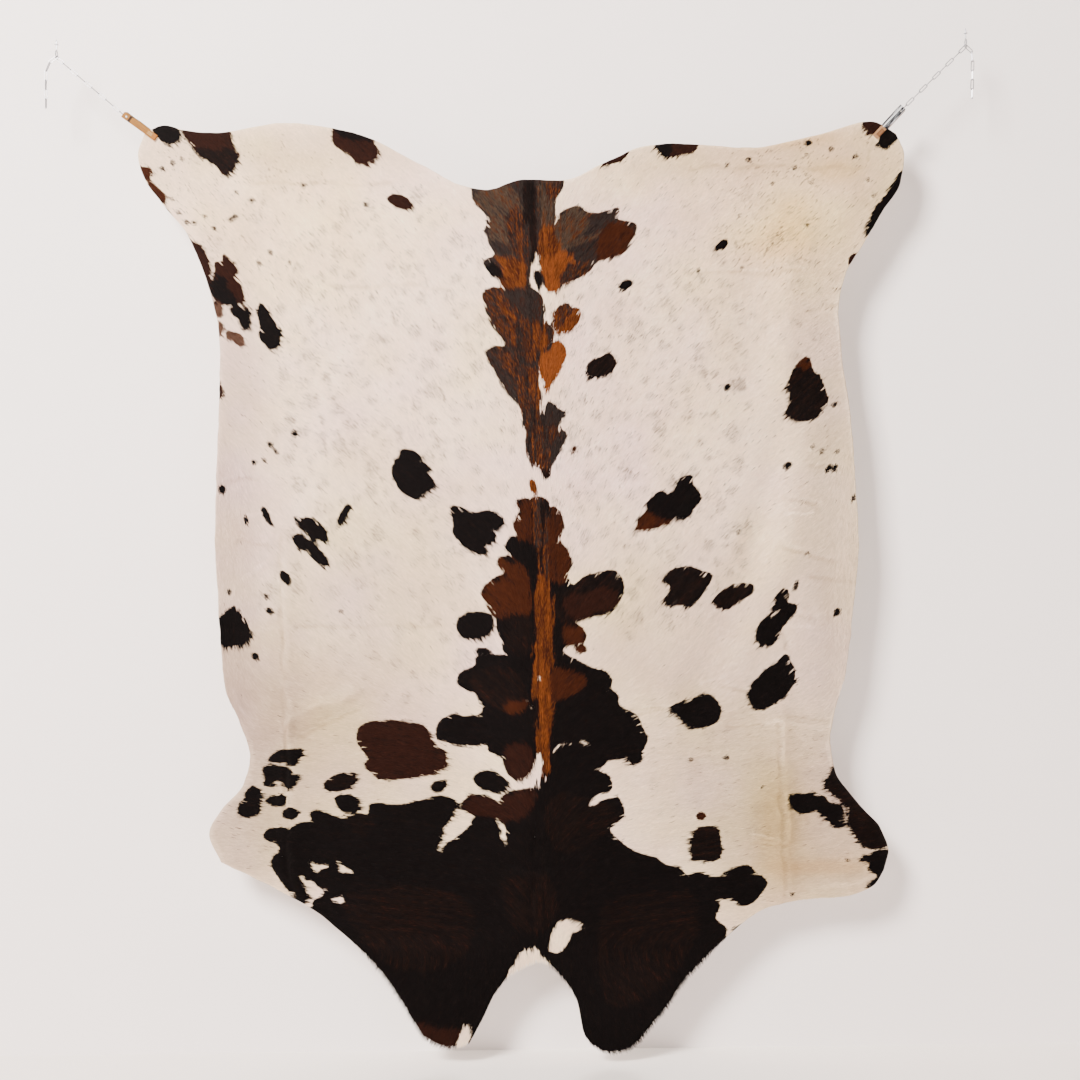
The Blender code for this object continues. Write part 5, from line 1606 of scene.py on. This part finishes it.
        size = (points[:, (0, 2)].max(0) - low).max()
        uv = (points[:, (0, 2)] - low) / size * 0.99 + 0.005
        mesh.uv_layers.new(name="OFBake").data.foreach_set(
            "uv", uv.astype(np.float32).ravel()
        )
        mesh.materials.append(finish.get(name, white_finish))
        made.append(add_object(name, mesh))
        print(name, n)
    return made


# --------------------------------------------------------- metal and wood
def metal_material(name, low, high, rough, scale, stretch=(1, 1, 1)):
    t = Tree(name)
    at = t.place(stretch)
    wear = t.noise(at, scale, 4.0, 0.6)
    fine = t.noise(t.place((1, 1, 1)), 900.0, 2.0)
    colour = t.mix(t.remap(wear, 0.3, 0.7), tuple(linear(low)), tuple(linear(high)))
    return t.finish(
        colour,
        t.remap(wear, 0.3, 0.7, rough[0], rough[1]),
        fine,
        0.0001,
        0.2,
        Metallic=1.0,
    )


def along_clip(t, side):
    """Millimetres along a clip, across it and through it."""
    at = t.node("ShaderNodeTexCoord").outputs["Object"]
    ox, oz = clip_point(side, 0.0) * MM
    d = heading(side[3])
    out = []
    for direction in ((d[0], 0, d[1]), (-d[1], 0, d[0]), (0, 1, 0)):
        n = t.node("ShaderNodeVectorMath", operation="SUBTRACT")
        t.put(n.inputs[0], at)
        n.inputs[1].default_value = (ox, 0, oz)
        m = t.node("ShaderNodeVectorMath", operation="DOT_PRODUCT")
        t.put(m.inputs[0], n)
        m.inputs[1].default_value = direction
        out.append(t.math("MULTIPLY", m.outputs["Value"], 1000.0))
    return out


def chrome_material(name, side):
    """Rolled, plated steel, its reflections painted as dark and light streaks along it, with a painted highlight along
    one edge.
    """
    t = Tree(name)
    run, off, deep = along_clip(t, side)
    at = t.node(
        "ShaderNodeCombineXYZ",
        {"X": t.math("MULTIPLY", run, 0.07), "Y": off, "Z": t.math("MULTIPLY", deep, 0.6)},
    )
    streak = t.noise(at, 0.55, 3.0, 0.6)
    fine = t.noise(at, 2.6, 3.0, 0.6)
    # painted reflection: dark and light streaks in the base colour
    colour = t.mix(
        t.remap(streak, 0.40, 0.60),
        tuple(linear((52, 50, 54))),
        tuple(linear((232, 232, 238))),
    )
    colour = t.scale_colour(colour, t.remap(fine, 0.3, 0.7, 0.8, 1.05))
    # painted highlight along one edge and on the brightest streaks, with less metal so the white reads brighter
    edge = t.remap(t.math("ABSOLUTE", t.math("SUBTRACT", off, 5.2 if side[4] != "front" else -5.2)), 1.2, 2.6, 1.0, 0.0)
    painted_highlight = t.math("MAXIMUM", edge, t.remap(streak, 0.56, 0.66))
    colour = t.mix(painted_highlight, colour, tuple(linear((244, 244, 248))))
    return t.finish(
        colour,
        t.remap(fine, 0.3, 0.7, 0.12, 0.26),
        streak,
        0.0003,
        0.5,
        Metallic=t.remap(painted_highlight, 0.0, 1.0, 1.0, 0.35),
    )


def wood_material(name, side, chrome_first):
    """Varnished softwood, read along the clip from its pivot to its tip."""
    t = Tree(name)
    run, off, deep = along_clip(t, side)
    grain_at = t.node(
        "ShaderNodeCombineXYZ",
        {"X": t.math("MULTIPLY", run, 0.05), "Y": off, "Z": deep},
    )
    grain = t.noise(grain_at, 0.9, 4.0, 0.6)
    fine = t.noise(grain_at, 3.2, 3.0, 0.6)
    colour = t.mix(
        t.remap(grain, 0.32, 0.68),
        tuple(linear((128, 94, 64) if chrome_first else (116, 76, 30))),
        tuple(linear((158, 120, 88) if chrome_first else (150, 103, 46))),
    )
    colour = t.scale_colour(colour, t.remap(fine, 0.3, 0.7, 0.86, 1.08))

    def band(low, high, soft=0.25):
        up = t.remap(run, low - soft, low + soft)
        down = t.remap(run, high - soft, high + soft, 1.0, 0.0)
        return t.math("MULTIPLY", up, down)

    def lane(centre, half):
        apart = t.math("ABSOLUTE", t.math("SUBTRACT", off, centre))
        return t.remap(apart, half - 0.2, half + 0.2, 1.0, 0.0)

    if not chrome_first:
        colour = t.mix(
            band(18.0, 24.0), colour, tuple(linear((40, 20, 11)))
        )
        lines = t.math(
            "ADD", t.math("ADD", lane(-2.6, 0.35), lane(0.2, 0.35)), lane(3.0, 0.35)
        )
        lines = t.math("MULTIPLY", t.math("MINIMUM", lines, 1.0), band(74.0, 87.0))
        colour = t.mix(
            t.math("MULTIPLY", lines, 0.7), colour, tuple(linear((226, 196, 140)))
        )
        colour = t.mix(
            t.math("MULTIPLY", band(88.5, 120.0), 0.45),
            colour,
            tuple(linear((150, 86, 30))),
        )
    else:
        # a burnt frame near the tip
        whole = t.math("MULTIPLY", band(73.0, 93.0), lane(0.0, 5.0))
        middle = t.math("MULTIPLY", band(76.0, 90.0), lane(0.0, 2.6))
        rim = t.math("SUBTRACT", whole, t.math("MULTIPLY", middle, 0.3))
        colour = t.mix(
            t.math("MULTIPLY", rim, 0.9), colour, tuple(linear((92, 58, 38)))
        )
    return t.finish(
        colour,
        t.remap(fine, 0.3, 0.7, 0.52, 0.64),
        grain,
        0.0002,
        0.3,
        Specular_IOR_Level=0.12,
    )


def cad_materials():
    steel = metal_material(
        "chain_steel", (146, 145, 150), (184, 183, 188), (0.30, 0.42), 160
    )
    hook = metal_material(
        "hook_steel", (150, 151, 156), (192, 193, 198), (0.26, 0.38), 220
    )
    rivet = metal_material(
        "rivet_steel", (170, 168, 166), (214, 212, 208), (0.20, 0.32), 300
    )
    eye = metal_material("eye_steel", (40, 37, 36), (72, 67, 64), (0.34, 0.48), 260)
    chrome = {side[0]: chrome_material("clip_chrome_" + side[0], side) for side in SIDES}
    wood = {
        side[0]: wood_material("clip_wood_" + side[0], side, side[4] == "front")
        for side in SIDES
    }
    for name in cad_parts:
        obj = bpy.data.objects.get(name)
        if obj is None or name == "hide":
            continue
        side = "left" if "left" in name else "right"
        if "jaw" in name:
            mat = wood[side]
        elif "spring" in name:
            mat = chrome[side]
        else:
            mat = next(
                m
                for key, m in (
                    ("chain_", steel),
                    ("hook_", hook),
                    ("rivet", rivet),
                    ("eye", eye),
                )
                if key in name
            )
        if obj.material_slots:
            for slot in obj.material_slots:
                slot.material = mat
        else:
            obj.data.materials.append(mat)


# ------------------------------------------------------------ camera, stage
def make_camera():
    data = bpy.data.cameras.new("camera")
    data.lens, data.sensor_width = 50.0, 36.0
    cam = bpy.data.objects.new("camera", data)
    bpy.context.scene.collection.objects.link(cam)
    # square on to the hide, with the small roll of a hand-held view
    cam.matrix_world = (
        Matrix.Translation((1.1597, -3.645, -1.2187))
        @ Matrix.Rotation(math.radians(90), 4, "X")
        @ Matrix.Rotation(math.radians(-0.72), 4, "Z")
    )
    bpy.context.scene.camera = cam


def stage_material(name, colour, one_sided):
    t = Tree(name)
    soft = t.noise(t.place(), 3.0, 3.0)
    tint = t.scale_colour(
        t.mix(t.remap(soft, 0.3, 0.7), tuple(linear(colour)), tuple(linear(colour) * 0.985)),
        1.0,
    )
    t.finish(tint, 0.7, Specular_IOR_Level=0.2)
    if one_sided:
        side = t.node("ShaderNodeNewGeometry").outputs["Backfacing"]
        clear = t.node("ShaderNodeBsdfTransparent")
        mixed = t.node("ShaderNodeMixShader")
        t.put(mixed.inputs[0], side)
        t.put(mixed.inputs[1], t.shader.outputs[0])
        t.put(mixed.inputs[2], clear.outputs[0])
        out = t.nt.nodes["Material Output"]
        t.nt.links.new(mixed.outputs[0], out.inputs["Surface"])
    return t.mat


def make_stage():
    floor_z, wall_y = -2.492, 0.105
    mesh = bpy.data.meshes.new("floor")
    mesh.from_pydata(
        [(-9, -10, floor_z), (11, -10, floor_z), (11, 9, floor_z), (-9, 9, floor_z)],
        [],
        [(0, 1, 2, 3)],
    )
    mesh.materials.append(stage_material("stage_floor", (236, 228, 222), False))
    floor = add_object("stage_floor", mesh)
    mesh = bpy.data.meshes.new("wall")
    mesh.from_pydata(
        [
            (-5, wall_y, floor_z),
            (7.4, wall_y, floor_z),
            (7.4, wall_y, 2.2),
            (-5, wall_y, 2.2),
        ],
        [],
        [(0, 1, 2, 3)],
    )
    mesh.materials.append(stage_material("stage_wall", (252, 244, 242), True))
    wall = add_object("stage_wall", mesh)
    wall.visible_shadow = False


def area_light(name, at, towards, size, power, colour=(1, 1, 1)):
    data = bpy.data.lights.new(name, "AREA")
    data.shape, data.size, data.size_y = "RECTANGLE", size[0], size[1]
    data.energy, data.color = power, colour
    obj = bpy.data.objects.new(name, data)
    bpy.context.scene.collection.objects.link(obj)
    obj.location = at
    obj.rotation_mode = "QUATERNION"
    obj.rotation_quaternion = (Vector(towards) - Vector(at)).to_track_quat("-Z", "Y")
    return obj


def make_light():
    middle = (1.16, 0.0, -1.3)
    area_light("key", (-2.3, -5.0, 2.9), middle, (2.1, 2.1), 1650, (1.0, 0.94, 0.885))
    area_light("fill", (5.0, -5.0, -0.8), middle, (3.0, 3.0), 90, (1.0, 0.95, 0.92))
    area_light("back", (2.2, 5.5, 1.5), middle, (3.0, 3.0), 420, (1.0, 0.95, 0.9))
    world = bpy.data.worlds.new("world")
    bpy.context.scene.world = world
    world.use_nodes = True
    sky = world.node_tree.nodes["Background"]
    sky.inputs["Color"].default_value = (0.97, 0.94, 0.93, 1)
    sky.inputs["Strength"].default_value = 0.32


# --------------------------------------------------------------------- main
make_camera()
make_stage()
make_light()

chart = chart_markings()
chart_roan(chart)
edges = chart_edge()

skin = make_skin(chart)
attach(skin, "root")
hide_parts("hide")
hair = make_hair(chart, edges)
for lock in hair:
    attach(lock, "root")
cad_materials()
